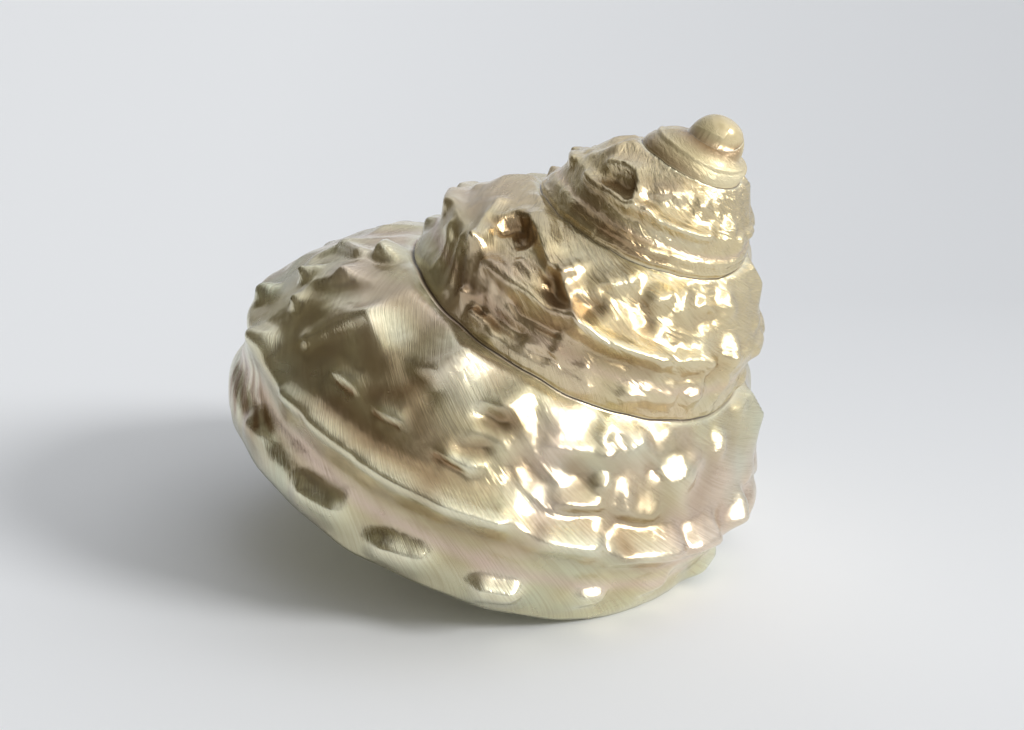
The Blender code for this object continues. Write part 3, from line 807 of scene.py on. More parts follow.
def young_cords(turn, place):
    span = smooth_step((-1.75 - turn) / 0.4) * smooth_step((turn + 2.75) / 0.35)
    faint = smooth_step((-2.5 - turn) / 0.3) * smooth_step((turn + 3.5) / 0.3)
    flat_back = np.abs((place - BROAD_CORD_PLACE) / BROAD_CORD_HALF) ** 2.8
    thin = THIN_CORD_MM * bell(place, THIN_CORD_PLACE, THIN_CORD_HALF)
    return (span + FAINT_SHARE * faint) * (BROAD_CORD_MM * np.exp(-flat_back) + thin)


print("the keel's cord is", round(float(keel_cord(-0.3, KEEL_CORD_PLACE)), 2), "mm high in front")

# %% [markdown]
# Now everything is added up. The relief fades out at the seam and at the lower keel,
# where two whorls share their vertices, and dips into a crevice right at the seam.

# %% The relief of the whole wall
SEAM_FADE = 0.05
KEEL_FADE = 0.03
CREVICE_PLACE = 0.012
CREVICE_MM = 0.5


def wall_relief(turn, place):
    relief = Relief(turn, place)
    for tip, feet, height in PYRAMIDS:
        add_pyramid(relief, tip, feet, height)
    for stroke in LAST_WHORL + SECOND_WHORL + THIRD_WHORL:
        add_stroke(relief, *stroke)
    placed = relief.count
    add_hidden_folds(relief)
    for row in HIDDEN_ROWS:
        add_hidden_row(relief, *row)
    print("placed by hand:", placed, "and in rows:", relief.count - placed)
    size = np.clip(size_at(turn + 1.0), 0.1, 1.1)
    height = relief.height() + size * (keel_cord(turn, place) + young_cords(turn, place))
    height = height + left_bulge(turn, place)
    smooth = wall_point(turn, place)
    height = height + size * sum(rise * lumps(smooth, cell, seed) for cell, rise, seed in LUMPS)
    edge = smooth_step(place / SEAM_FADE) * smooth_step((1.0 - place) / KEEL_FADE)
    return height * edge - CREVICE_MM * size * bell(place, 0.0, CREVICE_PLACE)


def stain_and_painted_light(turn, place):
    """How brown the spot is painted, by stains and painted shade; below zero it is paler, mostly as a
    painted highlight.
    """
    tones = Relief(turn, place)
    for line, width, strength in STAINS_AND_PAINTED_LIGHT:
        add_stroke(tones, line, width, strength)
    return tones.height()


def neighbour_mean(field, rounds):
    """The field spread out to its neighbours, for telling hollows from crests."""
    for _ in range(rounds):
        field = 0.5 * field + 0.25 * (np.roll(field, 1, 0) + np.roll(field, -1, 0))
        padded = np.pad(field, ((0, 0), (1, 1)), mode="edge")
        field = 0.5 * field + 0.25 * (padded[:, :-2] + padded[:, 2:])
    return field


# %% [markdown]
# ## The grid of the skin
# Vertices lie on a grid: one row per growth line, one column per place across the
# wall. The lower keel of one whorl is the seam of the next, so those two columns
# share vertices and the skin has no gap. Only the last stretch of keel, which no
# later whorl covers, has vertices of its own, and the base starts from them. Early
# whorls are tiny, so they get every second row and column.

# %% Grid sizes and vertex numbers
ROWS_PER_TURN = 416
WALL_COLUMNS = 72
BASE_COLUMNS = 24
EARLY_TURN = -1.75
SHIFT = ROWS_PER_TURN - round(LIP_LAG_TURN * ROWS_PER_TURN)
LAST = round(WOUND_TURNS * ROWS_PER_TURN)
OPEN_ROW = LAST - SHIFT
STAGES = LIP_TURN + (np.arange(LAST + 1) - LAST) / ROWS_PER_TURN
EARLY = 2 * (int(np.searchsorted(STAGES, EARLY_TURN)) // 2)
PLACES = np.linspace(0.0, 1.0, WALL_COLUMNS + 1)
INWARDS = np.linspace(0.0, 1.0, BASE_COLUMNS + 1)
KEEL_START = (LAST + 1) * WALL_COLUMNS
BASE_START = KEEL_START + SHIFT
FOOT = BASE_START + (SHIFT + 1) * BASE_COLUMNS


def wall_id(row, column):
    if column < WALL_COLUMNS:
        return row * WALL_COLUMNS + column
    if row <= OPEN_ROW:
        return (row + SHIFT) * WALL_COLUMNS
    return KEEL_START + row - OPEN_ROW - 1


def base_id(row, column):
    if column == 0:
        return wall_id(row, WALL_COLUMNS)
    return BASE_START + (row - OPEN_ROW) * BASE_COLUMNS + column - 1


print("rows:", LAST + 1, "columns:", WALL_COLUMNS + 1, "vertices outside:", FOOT + 1)

# %% [markdown]
# The class below collects points and faces. With each face corner it keeps the growth
# stage and the place, as a map for the finish, and with each point how deep it lies
# in a hollow, for painted shade and highlights, and how stained it is, with painted
# shade and highlights laid in among the stains.

# %% A collector for points and faces
class Skin:
    def __init__(self):
        self.points = []
        self.tones = []
        self.count = 0
        self.faces = []
        self.marks = []

    def add_points(self, points, tones=None):
        first = self.count
        self.points.append(points.reshape(-1, 3))
        self.count += len(self.points[-1])
        plain = np.zeros((self.count - first, 2))
        self.tones.append(plain if tones is None else tones.reshape(-1, 2))
        return first

    def add_face(self, corners, marks):
        self.faces.append(corners)
        self.marks.append(marks)

    def add_ring(self, points, loop, mark):
        """A new ring of points inside a loop, joined to it; the ring is the next loop."""
        first = self.add_points(points)
        count = len(loop)
        for k in range(count):
            after = (k + 1) % count
            self.add_face((loop[k], loop[after], first + after, first + k), (mark,) * 4)
        return list(range(first, first + count))

    def close(self, loop, tip, mark):
        """A fan of triangles from a loop to one point."""
        count = len(loop)
        tip_id = self.add_points(np.array(tip).reshape(1, 3))
        for k in range(count):
            self.add_face((loop[k], loop[(k + 1) % count], tip_id), (mark,) * 3)


skin = Skin()
print("an empty skin:", skin.count, "points,", len(skin.faces), "faces")

# %% [markdown]
# ## The worn apex
# The oldest turn is rubbed down to a small smooth dome, flatter on top than a ball.
# The wall of the first turn is drawn onto it, and rings close it to the tip.

# %% The dome of the apex
APEX_TURN = -3.25
APEX_SPAN = 0.30
APEX_RINGS = 8
APEX_TOP_MM = 0.5
APEX_RADIUS_MM = 4.7
APEX_DEPTH_MM = 5.6
APEX_POWER = 2.4
APEX_MARK_PLACE = 0.3


def apex_dome(radius):
    """Height of the dome at a distance from the axis."""
    part = np.clip(radius / APEX_RADIUS_MM, 0.0, 0.995)
    return APEX_TOP_MM - APEX_DEPTH_MM * (1.0 - (1.0 - part ** APEX_POWER) ** (1.0 / APEX_POWER))


def onto_dome(wall, turn):
    share = smooth_step((APEX_TURN - turn) / APEX_SPAN)
    dome = apex_dome(np.hypot(wall[..., 0], wall[..., 1]))
    wall = wall.copy()
    wall[..., 2] += share * (dome - wall[..., 2])
    return wall


print("the dome drops", round(float(APEX_TOP_MM - apex_dome(3.0)), 2), "mm at 3 mm from the axis")

# %% [markdown]
# ## Points outside
# Every vertex of wall and base gets its point here. The mean of the relief round a
# spot, less the relief there, tells hollows from crests. The finish uses it later, to
# paint shade into the hollows and highlights onto the crests.

# %% Points of wall and base
HOLLOW_ROUNDS = 40


def add_outer_points():
    turn = STAGES[:, None] - lag_at(PLACES)[None, :]
    place = np.broadcast_to(PLACES[None, :], turn.shape)
    relief = wall_relief(turn, place)
    wall = onto_dome(wall_point(turn, place, relief), turn)
    # How deep a spot lies in a hollow: painted shade in the finish, and below zero a painted highlight on a
    # crest.
    depth = neighbour_mean(relief, HOLLOW_ROUNDS) - relief
    tones = np.stack([depth, stain_and_painted_light(turn, place)], axis=-1)
    skin.add_points(wall[:, :-1], tones[:, :-1])
    skin.add_points(wall[OPEN_ROW + 1:, -1])
    base_turns = STAGES[OPEN_ROW:, None] - base_lag_at(INWARDS[None, 1:])
    skin.add_points(base_point(base_turns, INWARDS[None, 1:]))
    skin.add_points(np.array([[0.0, 0.0, -FOOT_DROP_MM]]))


add_outer_points()
print("points outside:", skin.count)

# %% [markdown]
# ## Faces outside
# Each cell of the grid is one face. Where the coarse early rows meet the fine ones, a
# face takes in the odd vertex on its edge, so that no gap is left.

# %% Faces of wall and base
def mark(row, column):
    return (STAGES[row], PLACES[column])


def add_wall_face(ring):
    skin.add_face([wall_id(*spot) for spot in ring], [mark(*spot) for spot in ring])


def cell(row, column):
    return [(row, column), (row, column + 1), (row + 1, column + 1), (row + 1, column)]


def early_cell(row, column):
    ring = [(row, column), (row, column + 2)]
    if column + 2 == WALL_COLUMNS and row + SHIFT >= EARLY:
        ring.append((row + 1, column + 2))
    ring.append((row + 2, column + 2))
    if row + 2 == EARLY:
        ring.append((row + 2, column + 1))
    ring.append((row + 2, column))
    return ring


def add_base_row(row):
    for column in range(BASE_COLUMNS):
        ring = cell(row, column)
        marks = [(STAGES[r], 1.0 + INWARDS[c]) for r, c in ring]
        skin.add_face([base_id(*spot) for spot in ring], marks)
    tip = (base_id(row, BASE_COLUMNS), FOOT, base_id(row + 1, BASE_COLUMNS))
    skin.add_face(tip, ((STAGES[row], 2.0),) * 3)


for row in range(0, EARLY, 2):
    for column in range(0, WALL_COLUMNS, 2):
        add_wall_face(early_cell(row, column))
for row in range(EARLY, LAST):
    for column in range(WALL_COLUMNS):
        add_wall_face(cell(row, column))
for row in range(OPEN_ROW, LAST):
    add_base_row(row)
print("faces outside:", len(skin.faces))

# %% Close the apex
def close_apex():
    loop = [wall_id(0, column) for column in range(0, WALL_COLUMNS + 1, 2)]
    loop += [wall_id(row, 0) for row in range(SHIFT - 2, 0, -2)]
    edge = np.concatenate(skin.points)[loop]
    apex_mark = (STAGES[0], APEX_MARK_PLACE)
    lift = edge[:, 2] - apex_dome(np.hypot(edge[:, 0], edge[:, 1]))
    for ring in range(1, APEX_RINGS):
        share = 1.0 - ring / APEX_RINGS
        inner = edge * share
        inner[:, 2] = apex_dome(np.hypot(inner[:, 0], inner[:, 1])) + lift * share ** 4
        loop = skin.add_ring(inner, loop, apex_mark)
    skin.close(loop, (0.0, 0.0, APEX_TOP_MM), apex_mark)


close_apex()
print("with the apex closed:", len(skin.faces), "faces")

# %% [markdown]
# ## The lip and the mouth
# After the last row the skin turns round the lip and lines the hollow. The hollow is
# the whorl's own outline, set in by the thickness of the wall, and thinner along its
# roof, where only a glaze covers the whorl above. It ends out of sight.

# %% The hollow behind the mouth
HOLLOW_ROWS_PER_TURN = 60
HOLLOW_TURNS = 0.75
WALL_MM = 2.2
CALLUS_MM = 0.8
LIP_ROUND_TURN = 0.003
LIP_ROUND_DEPTH = 0.45
HOLLOW_MARK_PLACE = 2.5


def hollow_ring(stage, depth):
    wall = wall_point(stage - lag_at(PLACES), PLACES)
    base = base_point(stage - base_lag_at(INWARDS[1:]), INWARDS[1:])
    roof_stage = stage - 1.0 + LIP_LAG_TURN
    roof = base_point(roof_stage - base_lag_at(INWARDS[:0:-1]), INWARDS[:0:-1])
    foot = (base[-1:] + roof[:1]) / 2.0
    outline = np.concatenate([wall, base, foot, roof])
    centre = (wall[::6].mean(axis=0) + base.mean(axis=0) + roof.mean(axis=0)) / 3.0
    inward = centre - outline
    far = np.linalg.norm(inward, axis=1, keepdims=True)
    thickness = np.full((len(outline), 1), WALL_MM)
    thickness[-len(roof):] = CALLUS_MM
    set_in = np.minimum(thickness * depth * math.sqrt(size_at(stage)), 0.5 * far)
    return outline + inward / far * set_in


def line_mouth():
    loop = [wall_id(LAST, column) for column in range(WALL_COLUMNS + 1)]
    loop += [base_id(LAST, column) for column in range(1, BASE_COLUMNS + 1)]
    loop.append(FOOT)
    loop += [base_id(OPEN_ROW, column) for column in range(BASE_COLUMNS, 0, -1)]
    rings = [(LIP_TURN + LIP_ROUND_TURN, LIP_ROUND_DEPTH)]
    steps = round(HOLLOW_TURNS * HOLLOW_ROWS_PER_TURN)
    rings += [(LIP_TURN - step / HOLLOW_ROWS_PER_TURN, 1.0) for step in range(1, steps + 1)]
    for stage, depth in rings:
        ring = hollow_ring(stage, depth)
        loop = skin.add_ring(ring, loop, (stage, HOLLOW_MARK_PLACE))
    skin.close(loop, ring.mean(axis=0), (stage, HOLLOW_MARK_PLACE))


line_mouth()
print("with the mouth lined:", len(skin.faces), "faces")

# %% [markdown]
# ## Lay it down
# The shell was built upright on its axis. Three turns and one shift lay it on its
# mouth, just where the plain solid lies. What would reach below the floor is worn
# flat, as on the solid.

# %% The resting place
LEAN_DEG = 34.1
LEAN_TOWARDS_DEG = -25.8
SPIN_DEG = -149.7
APEX_AT_MM = (37.48, -23.65, 76.1)


def rest_matrix():
    lean = Matrix.Rotation(math.radians(LEAN_TOWARDS_DEG), 4, "Z")
    lean = lean @ Matrix.Rotation(math.radians(LEAN_DEG), 4, "Y")
    lean = lean @ Matrix.Rotation(math.radians(SPIN_DEG), 4, "Z")
    return Matrix.Translation(Vector(APEX_AT_MM) * MM) @ lean @ Matrix.Scale(MM, 4)


print("apex above the floor:", APEX_AT_MM[2], "mm")

# %% [markdown]
# ## The mesh object
# Blender gets the points and faces in one call. The map of stage and place becomes a
# UV layer, and the tones become attributes on the points, because both reach the
# finish and travel with the mesh.

# %% Make the shell's skin
def finish_faces(mesh):
    """Drops unused vertices, cuts faces of many corners up and turns all outward."""
    work = bmesh.new()
    work.from_mesh(mesh)
    work.verts.ensure_lookup_table()
    loose = [vertex for vertex in work.verts if not vertex.link_faces]
    bmesh.ops.delete(work, geom=loose, context="VERTS")
    bmesh.ops.triangulate(work, faces=[face for face in work.faces if len(face.verts) > 4])
    bmesh.ops.recalc_face_normals(work, faces=work.faces)
    work.to_mesh(mesh)
    work.free()
    mesh.shade_smooth()


def make_shell_skin():
    mesh = bpy.data.meshes.new("shell_skin")
    points = np.concatenate(skin.points)
    mesh.from_pydata(points.tolist(), [], skin.faces)
    mesh.transform(rest_matrix())
    corners = np.array([mark for marks in skin.marks for mark in marks], dtype=np.float32)
    growth = mesh.uv_layers.new(name="growth")
    growth.uv.foreach_set("vector", corners.ravel())
    tones = np.concatenate(skin.tones)
    for column, name in enumerate(("hollow", "stain_and_painted_light")):
        attribute = mesh.attributes.new(name, "FLOAT", "POINT")
        attribute.data.foreach_set("value", np.ascontiguousarray(tones[:, column], dtype=np.float32))
    flat = np.empty(len(mesh.vertices) * 3, dtype=np.float32)
    mesh.vertices.foreach_get("co", flat)
    flat[2::3] = np.maximum(flat[2::3], 0.0)
    mesh.vertices.foreach_set("co", flat)
    finish_faces(mesh)
    piece = bpy.data.objects.new("shell_skin", mesh)
    bpy.context.scene.collection.objects.link(piece)
    triangles = sum(len(face.vertices) - 2 for face in mesh.polygons)
    print("shell skin:", len(mesh.vertices), "vertices,", triangles, "triangles")
    return piece


shell_skin = make_shell_skin()
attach(shell_skin, "root")
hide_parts("shell")

# %% [markdown]
# ## Nacre
# Mother of pearl is thousands of thin clear plates. It mirrors light like a metal but
# softly, and its colour drifts from gold to green and rose. We treat it as a metal
# under a thin clear coat, and drive colour, gloss and fine lines by the growth map of
# the mesh, whose u runs with growth and v runs across the wall. First some helpers,
# because a finish of many layers needs the same few nodes again and again.

# %% Small helpers for shader nodes
def new_material(name):
    material = bpy.data.materials.new(name)
    material.use_nodes = True
    tree = material.node_tree
    return material, tree, tree.nodes["Principled BSDF"]


def node(tree, kind, **settings):
    made = tree.nodes.new(kind)
    for key, value in settings.items():
        setattr(made, key, value)
    return made


def noise(tree, vector, scale, detail=3.0, roughness=0.5, distortion=0.0):
    made = node(tree, "ShaderNodeTexNoise")
    made.inputs["Scale"].default_value = scale
    made.inputs["Detail"].default_value = detail
    made.inputs["Roughness"].default_value = roughness
    made.inputs["Distortion"].default_value = distortion
    tree.links.new(vector, made.inputs["Vector"])
    return made.outputs["Fac"]


def ramp(tree, value, stops):
    """A value run through stops of (position, grey) or (position, (r, g, b))."""
    made = node(tree, "ShaderNodeValToRGB")
    elements = made.color_ramp.elements
    while len(elements) < len(stops):
        elements.new(0.5)
    for element, (position, colour) in zip(elements, stops):
        element.position = position
        grey = (colour, colour, colour) if isinstance(colour, float) else colour
        element.color = (*grey, 1.0)
    tree.links.new(value, made.inputs["Fac"])
    return made.outputs["Color"]


print("helpers made:", new_material.__name__, node.__name__, noise.__name__, ramp.__name__)

# %% Helpers that mix, reckon, stretch and bump
def mix_colour(tree, share, first, second):
    made = node(tree, "ShaderNodeMix", data_type="RGBA", blend_type="MIX")
    for socket, value in (("Factor", share), ("A", first), ("B", second)):
        target = [item for item in made.inputs if item.name == socket and item.enabled][0]
        if hasattr(value, "default_value") or hasattr(value, "is_linked"):
            tree.links.new(value, target)
        elif isinstance(value, tuple):
            target.default_value = (*value, 1.0)
        else:
            target.default_value = value
    return [item for item in made.outputs if item.enabled][0]


def arithmetic(tree, operation, first, second=0.0, third=0.0, clamp=False):
    made = node(tree, "ShaderNodeMath", operation=operation, use_clamp=clamp)
    for index, value in enumerate((first, second, third)):
        if isinstance(value, (int, float)):
            made.inputs[index].default_value = value
        else:
            tree.links.new(value, made.inputs[index])
    return made.outputs[0]


def stretched(tree, vector, scales):
    made = node(tree, "ShaderNodeMapping")
    made.inputs["Scale"].default_value = scales
    tree.links.new(vector, made.inputs["Vector"])
    return made.outputs["Vector"]


def bump(tree, height, strength, distance_m, below=None):
    """A bump laid over the one below it."""
    made = node(tree, "ShaderNodeBump")
    made.inputs["Strength"].default_value = strength
    made.inputs["Distance"].default_value = distance_m
    tree.links.new(height, made.inputs["Height"])
    if below is not None:
        tree.links.new(below, made.inputs["Normal"])
    return made.outputs["Normal"]


print("helpers made:", mix_colour.__name__, arithmetic.__name__, stretched.__name__, bump.__name__)

# %% [markdown]
# What may the finish ask about a spot? Its stage and place from the map, its point in
# space, how hollow it is, and its stains with the painted shade and highlights among
# them. From the stage we reckon an age between 0 and 1 and mark out the spire, which is
# all whorls but the last, and the young whorls near the apex.

# %% What is known about a spot
AGE_PER_TURN = -0.25


class Spot:
    def __init__(self, tree):
        self.growth = node(tree, "ShaderNodeUVMap", uv_map="growth").outputs["UV"]
        split = node(tree, "ShaderNodeSeparateXYZ")
        tree.links.new(self.growth, split.inputs[0])
        self.place = split.outputs["Y"]
        self.local = node(tree, "ShaderNodeTexCoord").outputs["Object"]
        self.hollow = node(tree, "ShaderNodeAttribute", attribute_name="hollow").outputs["Fac"]
        self.stain_and_light_share = node(tree, "ShaderNodeAttribute", attribute_name="stain_and_painted_light").outputs["Fac"]
        self.age = arithmetic(tree, "MULTIPLY", split.outputs["X"], AGE_PER_TURN)
        self.spire = ramp(tree, self.age, [(0.19, 0.0), (0.24, 1.0)])
        self.young = ramp(tree, self.age, [(0.60, 0.0), (0.74, 1.0)])
        self.crack = ramp(tree, self.place, [(0.003, 1.0), (0.008, 0.0)])


print("the spire starts near turn", round(0.24 / AGE_PER_TURN, 2))

# %% [markdown]
# The ground colour drifts between olive and gold. Hollows are painted brown, as painted
# shade, and crests pale, as painted highlight. Clouds of rose and green stand for the
# play of colour of thin plates.

# %% The clouds of the last whorl
GOLD = (0.79, 0.715, 0.46)
OLIVE = (0.62, 0.54, 0.34)
BROWN = (0.34, 0.22, 0.11)
PALE_GOLD = (0.90, 0.86, 0.64)
ROSE = (0.82, 0.62, 0.56)
GREEN = (0.66, 0.73, 0.58)


def clouds(tree, spot):
    colour = ramp(tree, noise(tree, spot.local, 60.0, 3.0, 0.5), [(0.36, OLIVE), (0.60, GOLD)])
    # Painted shade: hollows darkened towards brown. Painted highlight: crests paled.
    painted_hollow_shade = arithmetic(tree, "MULTIPLY", spot.hollow, 0.55, clamp=True)
    colour = mix_colour(tree, painted_hollow_shade, colour, BROWN)
    painted_crest_highlight = arithmetic(tree, "MULTIPLY", spot.hollow, -0.5, clamp=True)
    colour = mix_colour(tree, painted_crest_highlight, colour, PALE_GOLD)
    rosy = ramp(tree, noise(tree, spot.local, 34.0, 2.0, 0.5, 0.6), [(0.52, 0.0), (0.66, 0.5)])
    colour = mix_colour(tree, rosy, colour, ROSE)
    streaks = stretched(tree, spot.local, (1.0, 1.3, 1.7))
    greens = ramp(tree, noise(tree, streaks, 40.0, 2.0), [(0.55, 0.0), (0.68, 0.5)])
    return mix_colour(tree, greens, colour, GREEN)


print("ground tones:", OLIVE, "and", GOLD)

# %% [markdown]
# Bands come next: rose in the channel under the keel, green below it on the last
# whorl, tan over the spire and cream on the young whorls.

# %% Bands along the whorls
CREAM = (0.74, 0.63, 0.37)
TAN = (0.80, 0.63, 0.36)
TAN_SHARE = 0.45


def bands(tree, spot, colour):
    channel = ramp(tree, spot.place, [(0.72, 0.0), (0.78, 0.55), (0.83, 0.0), (1.0, 0.0)])
    colour = mix_colour(tree, channel, colour, ROSE)
    colour = mix_colour(tree, arithmetic(tree, "MULTIPLY", spot.spire, TAN_SHARE), colour, TAN)
    band = ramp(tree, spot.place, [(0.82, 0.0), (0.90, 0.30), (1.0, 0.30)])
    band = arithmetic(tree, "MULTIPLY", band, arithmetic(tree, "SUBTRACT", 1.0, spot.spire))
    colour = mix_colour(tree, band, colour, GREEN)
    return mix_colour(tree, spot.young, colour, CREAM)


print("tone of the spire:", TAN, "and of the young whorls:", CREAM)

# %% [markdown]
# Over the bands lie the stains with the painted shade and painted highlights among them,
# the fine brown growth lines, a pale edge beside the seam and the dark crack of the seam
# itself.

# %% Stains and painted light, growth lines and the seam
CRACK = (0.06, 0.035, 0.02)


def lines_stains_and_painted_light(tree, spot, colour):
    # Brown: stains together with painted shade and painted reflections. Pale: painted highlights, with some
    # paler nacre.
    brown_stain_and_shade = arithmetic(tree, "MULTIPLY", spot.stain_and_light_share, 1.0, clamp=True)
    colour = mix_colour(tree, brown_stain_and_shade, colour, BROWN)
    pale_tone_and_highlight = arithmetic(tree, "MULTIPLY", spot.stain_and_light_share, -1.0, clamp=True)
    colour = mix_colour(tree, pale_tone_and_highlight, colour, PALE_GOLD)
    lines = noise(tree, stretched(tree, spot.growth, (700.0, 5.0, 1.0)), 1.0, 2.0, 0.5)
    colour = mix_colour(tree, ramp(tree, lines, [(0.38, 0.22), (0.58, 0.0)]), colour, BROWN)
    edge = ramp(tree, spot.place, [(0.009, 0.0), (0.014, 0.7), (0.034, 0.0)])
    colour = mix_colour(tree, edge, colour, PALE_GOLD)
    return mix_colour(tree, spot.crack, colour, CRACK)


print("tone of the seam's crack:", CRACK)

# %% [markdown]
# Relief too fine for the mesh is left to three bumps, each laid over the one before:
# the silk of the growth lines, small dents, and creases that are strong on the spire
# and fade towards the apex.

# %% Fine relief
def fine_relief(tree, spot):
    silk = noise(tree, stretched(tree, spot.growth, (1100.0, 14.0, 1.0)), 1.0, 2.0, 0.5)
    normal = bump(tree, silk, 0.35, 0.00015)
    normal = bump(tree, noise(tree, spot.local, 210.0, 2.0, 0.5), 0.5, 0.0006, normal)
    creases = noise(tree, stretched(tree, spot.growth, (46.0, 9.0, 1.0)), 1.0, 2.0, 0.5, 0.6)
    older = arithmetic(tree, "MAXIMUM", spot.spire, ramp(tree, spot.age, [(0.03, 0.0), (0.08, 0.45)]))
    creased = arithmetic(tree, "MULTIPLY", older, arithmetic(tree, "MULTIPLY_ADD", spot.young, -0.6, 1.0))
    return bump(tree, arithmetic(tree, "MULTIPLY", creases, creased), 0.45, 0.0010, normal)


print("bumps from fine to broad: silk, dents, creases")

# %% [markdown]
# Last, the gloss. The nacre is nearly all metal, the worn young whorls less so, and
# the crack not at all. Its polish varies a little from spot to spot.

# %% The nacre finish
METAL = 0.90
YOUNG_LESS_METAL = -0.55
COAT = 0.3
COAT_ROUGHNESS = 0.08


def nacre_material():
    material, tree, shader = new_material("polished_nacre")
    spot = Spot(tree)
    colour = lines_stains_and_painted_light(tree, spot, bands(tree, spot, clouds(tree, spot)))
    tree.links.new(colour, shader.inputs["Base Color"])
    metal = arithmetic(tree, "MULTIPLY_ADD", spot.young, YOUNG_LESS_METAL, METAL)
    metal = arithmetic(tree, "MULTIPLY", metal, arithmetic(tree, "SUBTRACT", 1.0, spot.crack), clamp=True)
    tree.links.new(metal, shader.inputs["Metallic"])
    gloss = ramp(tree, noise(tree, spot.local, 150.0, 3.0, 0.6), [(0.3, 0.14), (0.7, 0.30)])
    tree.links.new(gloss, shader.inputs["Roughness"])
    shader.inputs["Coat Weight"].default_value = COAT
    shader.inputs["Coat Roughness"].default_value = COAT_ROUGHNESS
    tree.links.new(fine_relief(tree, spot), shader.inputs["Normal"])
    return material


shell_skin.data.materials.append(nacre_material())
print("nacre finish on", shell_skin.name, "with", len(shell_skin.data.materials[0].node_tree.nodes), "nodes")

# %% [markdown]
# ## The floor
# A wide, plain, pale sheet, with painted shade: its colour falls off slowly to a greyer
# tone to the right and to the back, as the light of a window would fall off.

# %% Floor
FLOOR_M = 60.0
PALE_FLOOR = (0.84, 0.86, 0.90)
SHADED_FLOOR = (0.66, 0.68, 0.72)
SPREAD_FROM_Y_M = 0.45
NEAREST_M = 0.1


def floor_material():
    material, tree, shader = new_material("pale_floor")
    spot = node(tree, "ShaderNodeSeparateXYZ")
    tree.links.new(node(tree, "ShaderNodeTexCoord").outputs["Object"], spot.inputs[0])
    ahead = arithmetic(tree, "ADD", spot.outputs["Y"], SPREAD_FROM_Y_M)
    ahead = arithmetic(tree, "MAXIMUM", ahead, NEAREST_M)
    aside = arithmetic(tree, "DIVIDE", spot.outputs["X"], ahead)
    right = ramp(tree, arithmetic(tree, "ADD", aside, 0.5), [(0.35, 0.0), (0.95, 1.0)])
    back = ramp(tree, arithmetic(tree, "ADD", spot.outputs["Y"], 0.5), [(0.45, 0.0), (0.70, 1.0)])
    # Painted shade, greyer towards the far right and the back.
    colour = mix_colour(tree, arithmetic(tree, "MULTIPLY", right, back), PALE_FLOOR, SHADED_FLOOR)
    tree.links.new(colour, shader.inputs["Base Color"])
    shader.inputs["Roughness"].default_value = 0.95
    shader.inputs["Specular IOR Level"].default_value = 0.1
    return material


def make_floor():
    mesh = bpy.data.meshes.new("floor")
    half = FLOOR_M / 2.0
    corners = [(-half, -half, 0.0), (half, -half, 0.0), (half, half, 0.0), (-half, half, 0.0)]
    mesh.from_pydata(corners, [], [(0, 1, 2, 3)])
    mesh.materials.append(floor_material())
    floor = bpy.data.objects.new("floor", mesh)
    bpy.context.scene.collection.objects.link(floor)


make_floor()
print("floor:", FLOOR_M, "m wide")

# %% [markdown]
# ## The window
# One soft light from the right, a little in front, as from a window. A sun lamp is
# enough, because it has only a direction. Its wide angle makes the shadow soft.

# %% The window
WINDOW_FROM = Vector((0.82, -0.42, 0.50))
WINDOW_DEG = 18.0
WINDOW_POWER = 1.95
WINDOW_COLOUR = (1.0, 0.99, 0.97)


def window_light():
    data = bpy.data.lights.new("window", "SUN")
    data.energy = WINDOW_POWER
    data.angle = math.radians(WINDOW_DEG)
    data.color = WINDOW_COLOUR
    light = bpy.data.objects.new("window", data)
    light.rotation_euler = (-WINDOW_FROM).to_track_quat("-Z", "Y").to_euler()
    bpy.context.scene.collection.objects.link(light)


window_light()
print("window light:", WINDOW_POWER, "strong,", WINDOW_DEG, "degrees wide")

# %% [markdown]
# ## The room
# Polished nacre shows what is round it, so the room matters: pale all round, bright
# above on the window's side, and dim brown on the left. That dim part is what gives
# the hollows of the shell their depth. Faint clutter breaks the reflections up. The
# camera itself sees only a plain pale tone behind the floor.

# %% The room
DARK_TOWARDS = Vector((-0.93, -0.18, 0.30)).normalized()
BRIGHT_TOWARDS = Vector((0.62, -0.20, 0.75)).normalized()
PALE_ROOM = (0.86, 0.89, 0.95)
BROWN_ROOM = (0.045, 0.032, 0.016)
DIM_ROOM = (0.24, 0.22, 0.16)
BRIGHT_ROOM = (1.45, 1.45, 1.40)
SEEN_ROOM = (0.77, 0.80, 0.85)


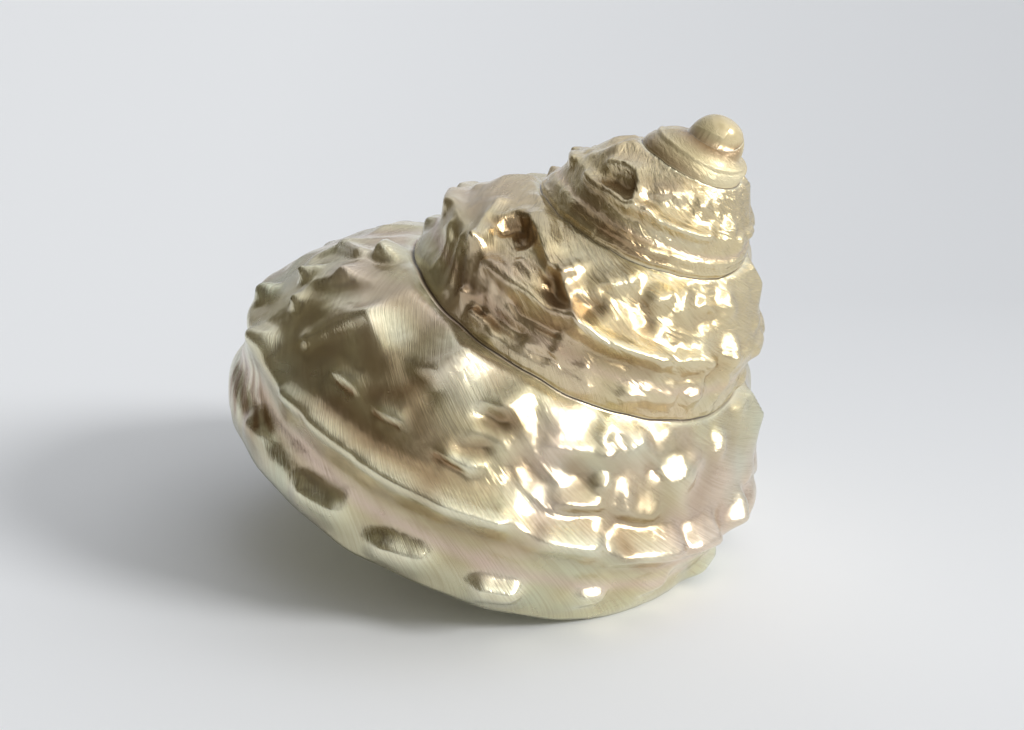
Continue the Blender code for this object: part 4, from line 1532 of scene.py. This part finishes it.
def room_light():
    world = bpy.data.worlds.new("room")
    world.use_nodes = True
    bpy.context.scene.world = world
    tree = world.node_tree
    background = tree.nodes["Background"]
    direction = node(tree, "ShaderNodeTexCoord").outputs["Generated"]

    def towards(aim, stops):
        facing = node(tree, "ShaderNodeVectorMath", operation="DOT_PRODUCT")
        tree.links.new(direction, facing.inputs[0])
        facing.inputs[1].default_value = aim
        return ramp(tree, facing.outputs["Value"], stops)

    dark = towards(DARK_TOWARDS, [(0.20, 0.0), (0.66, 1.0)])
    bright = towards(BRIGHT_TOWARDS, [(0.70, 0.0), (0.92, 1.0)])
    clutter = ramp(tree, noise(tree, direction, 2.6, 2.0), [(0.46, 0.0), (0.56, 0.6)])
    colour = mix_colour(tree, bright, PALE_ROOM, BRIGHT_ROOM)
    patches = ramp(tree, noise(tree, direction, 5.0, 3.0), [(0.42, 0.0), (0.62, 1.0)])
    browns = mix_colour(tree, patches, BROWN_ROOM, DIM_ROOM)
    colour = mix_colour(tree, arithmetic(tree, "MAXIMUM", dark, clutter), colour, browns)
    path = node(tree, "ShaderNodeLightPath")
    colour = mix_colour(tree, path.outputs["Is Camera Ray"], colour, SEEN_ROOM)
    tree.links.new(colour, background.inputs["Color"])


room_light()
bpy.context.scene.view_settings.view_transform = "Standard"
bpy.context.scene.view_settings.look = "None"

print("room light from", bpy.context.scene.world.name)

# %% [markdown]
# ## The camera
# It looks down by 15 degrees from in front. Its place and lens were fitted, together
# with the spiral, so that seams and keels fall where the photo shows them.

# %% Camera
ELEVATION_DEG = 15.0
LENS_MM = 49.2
CAMERA_AT_M = (0.00378, -0.24295, 0.0961)


def viewpoint():
    data = bpy.data.cameras.new("camera")
    data.lens = LENS_MM
    data.sensor_width = 36.0
    data.clip_start = 0.01
    camera = bpy.data.objects.new("camera", data)
    camera.location = CAMERA_AT_M
    camera.rotation_euler = (math.radians(90.0 - ELEVATION_DEG), 0.0, 0.0)
    bpy.context.scene.collection.objects.link(camera)
    bpy.context.scene.camera = camera


viewpoint()

print("camera", LENS_MM, "mm,", ELEVATION_DEG, "degrees down")
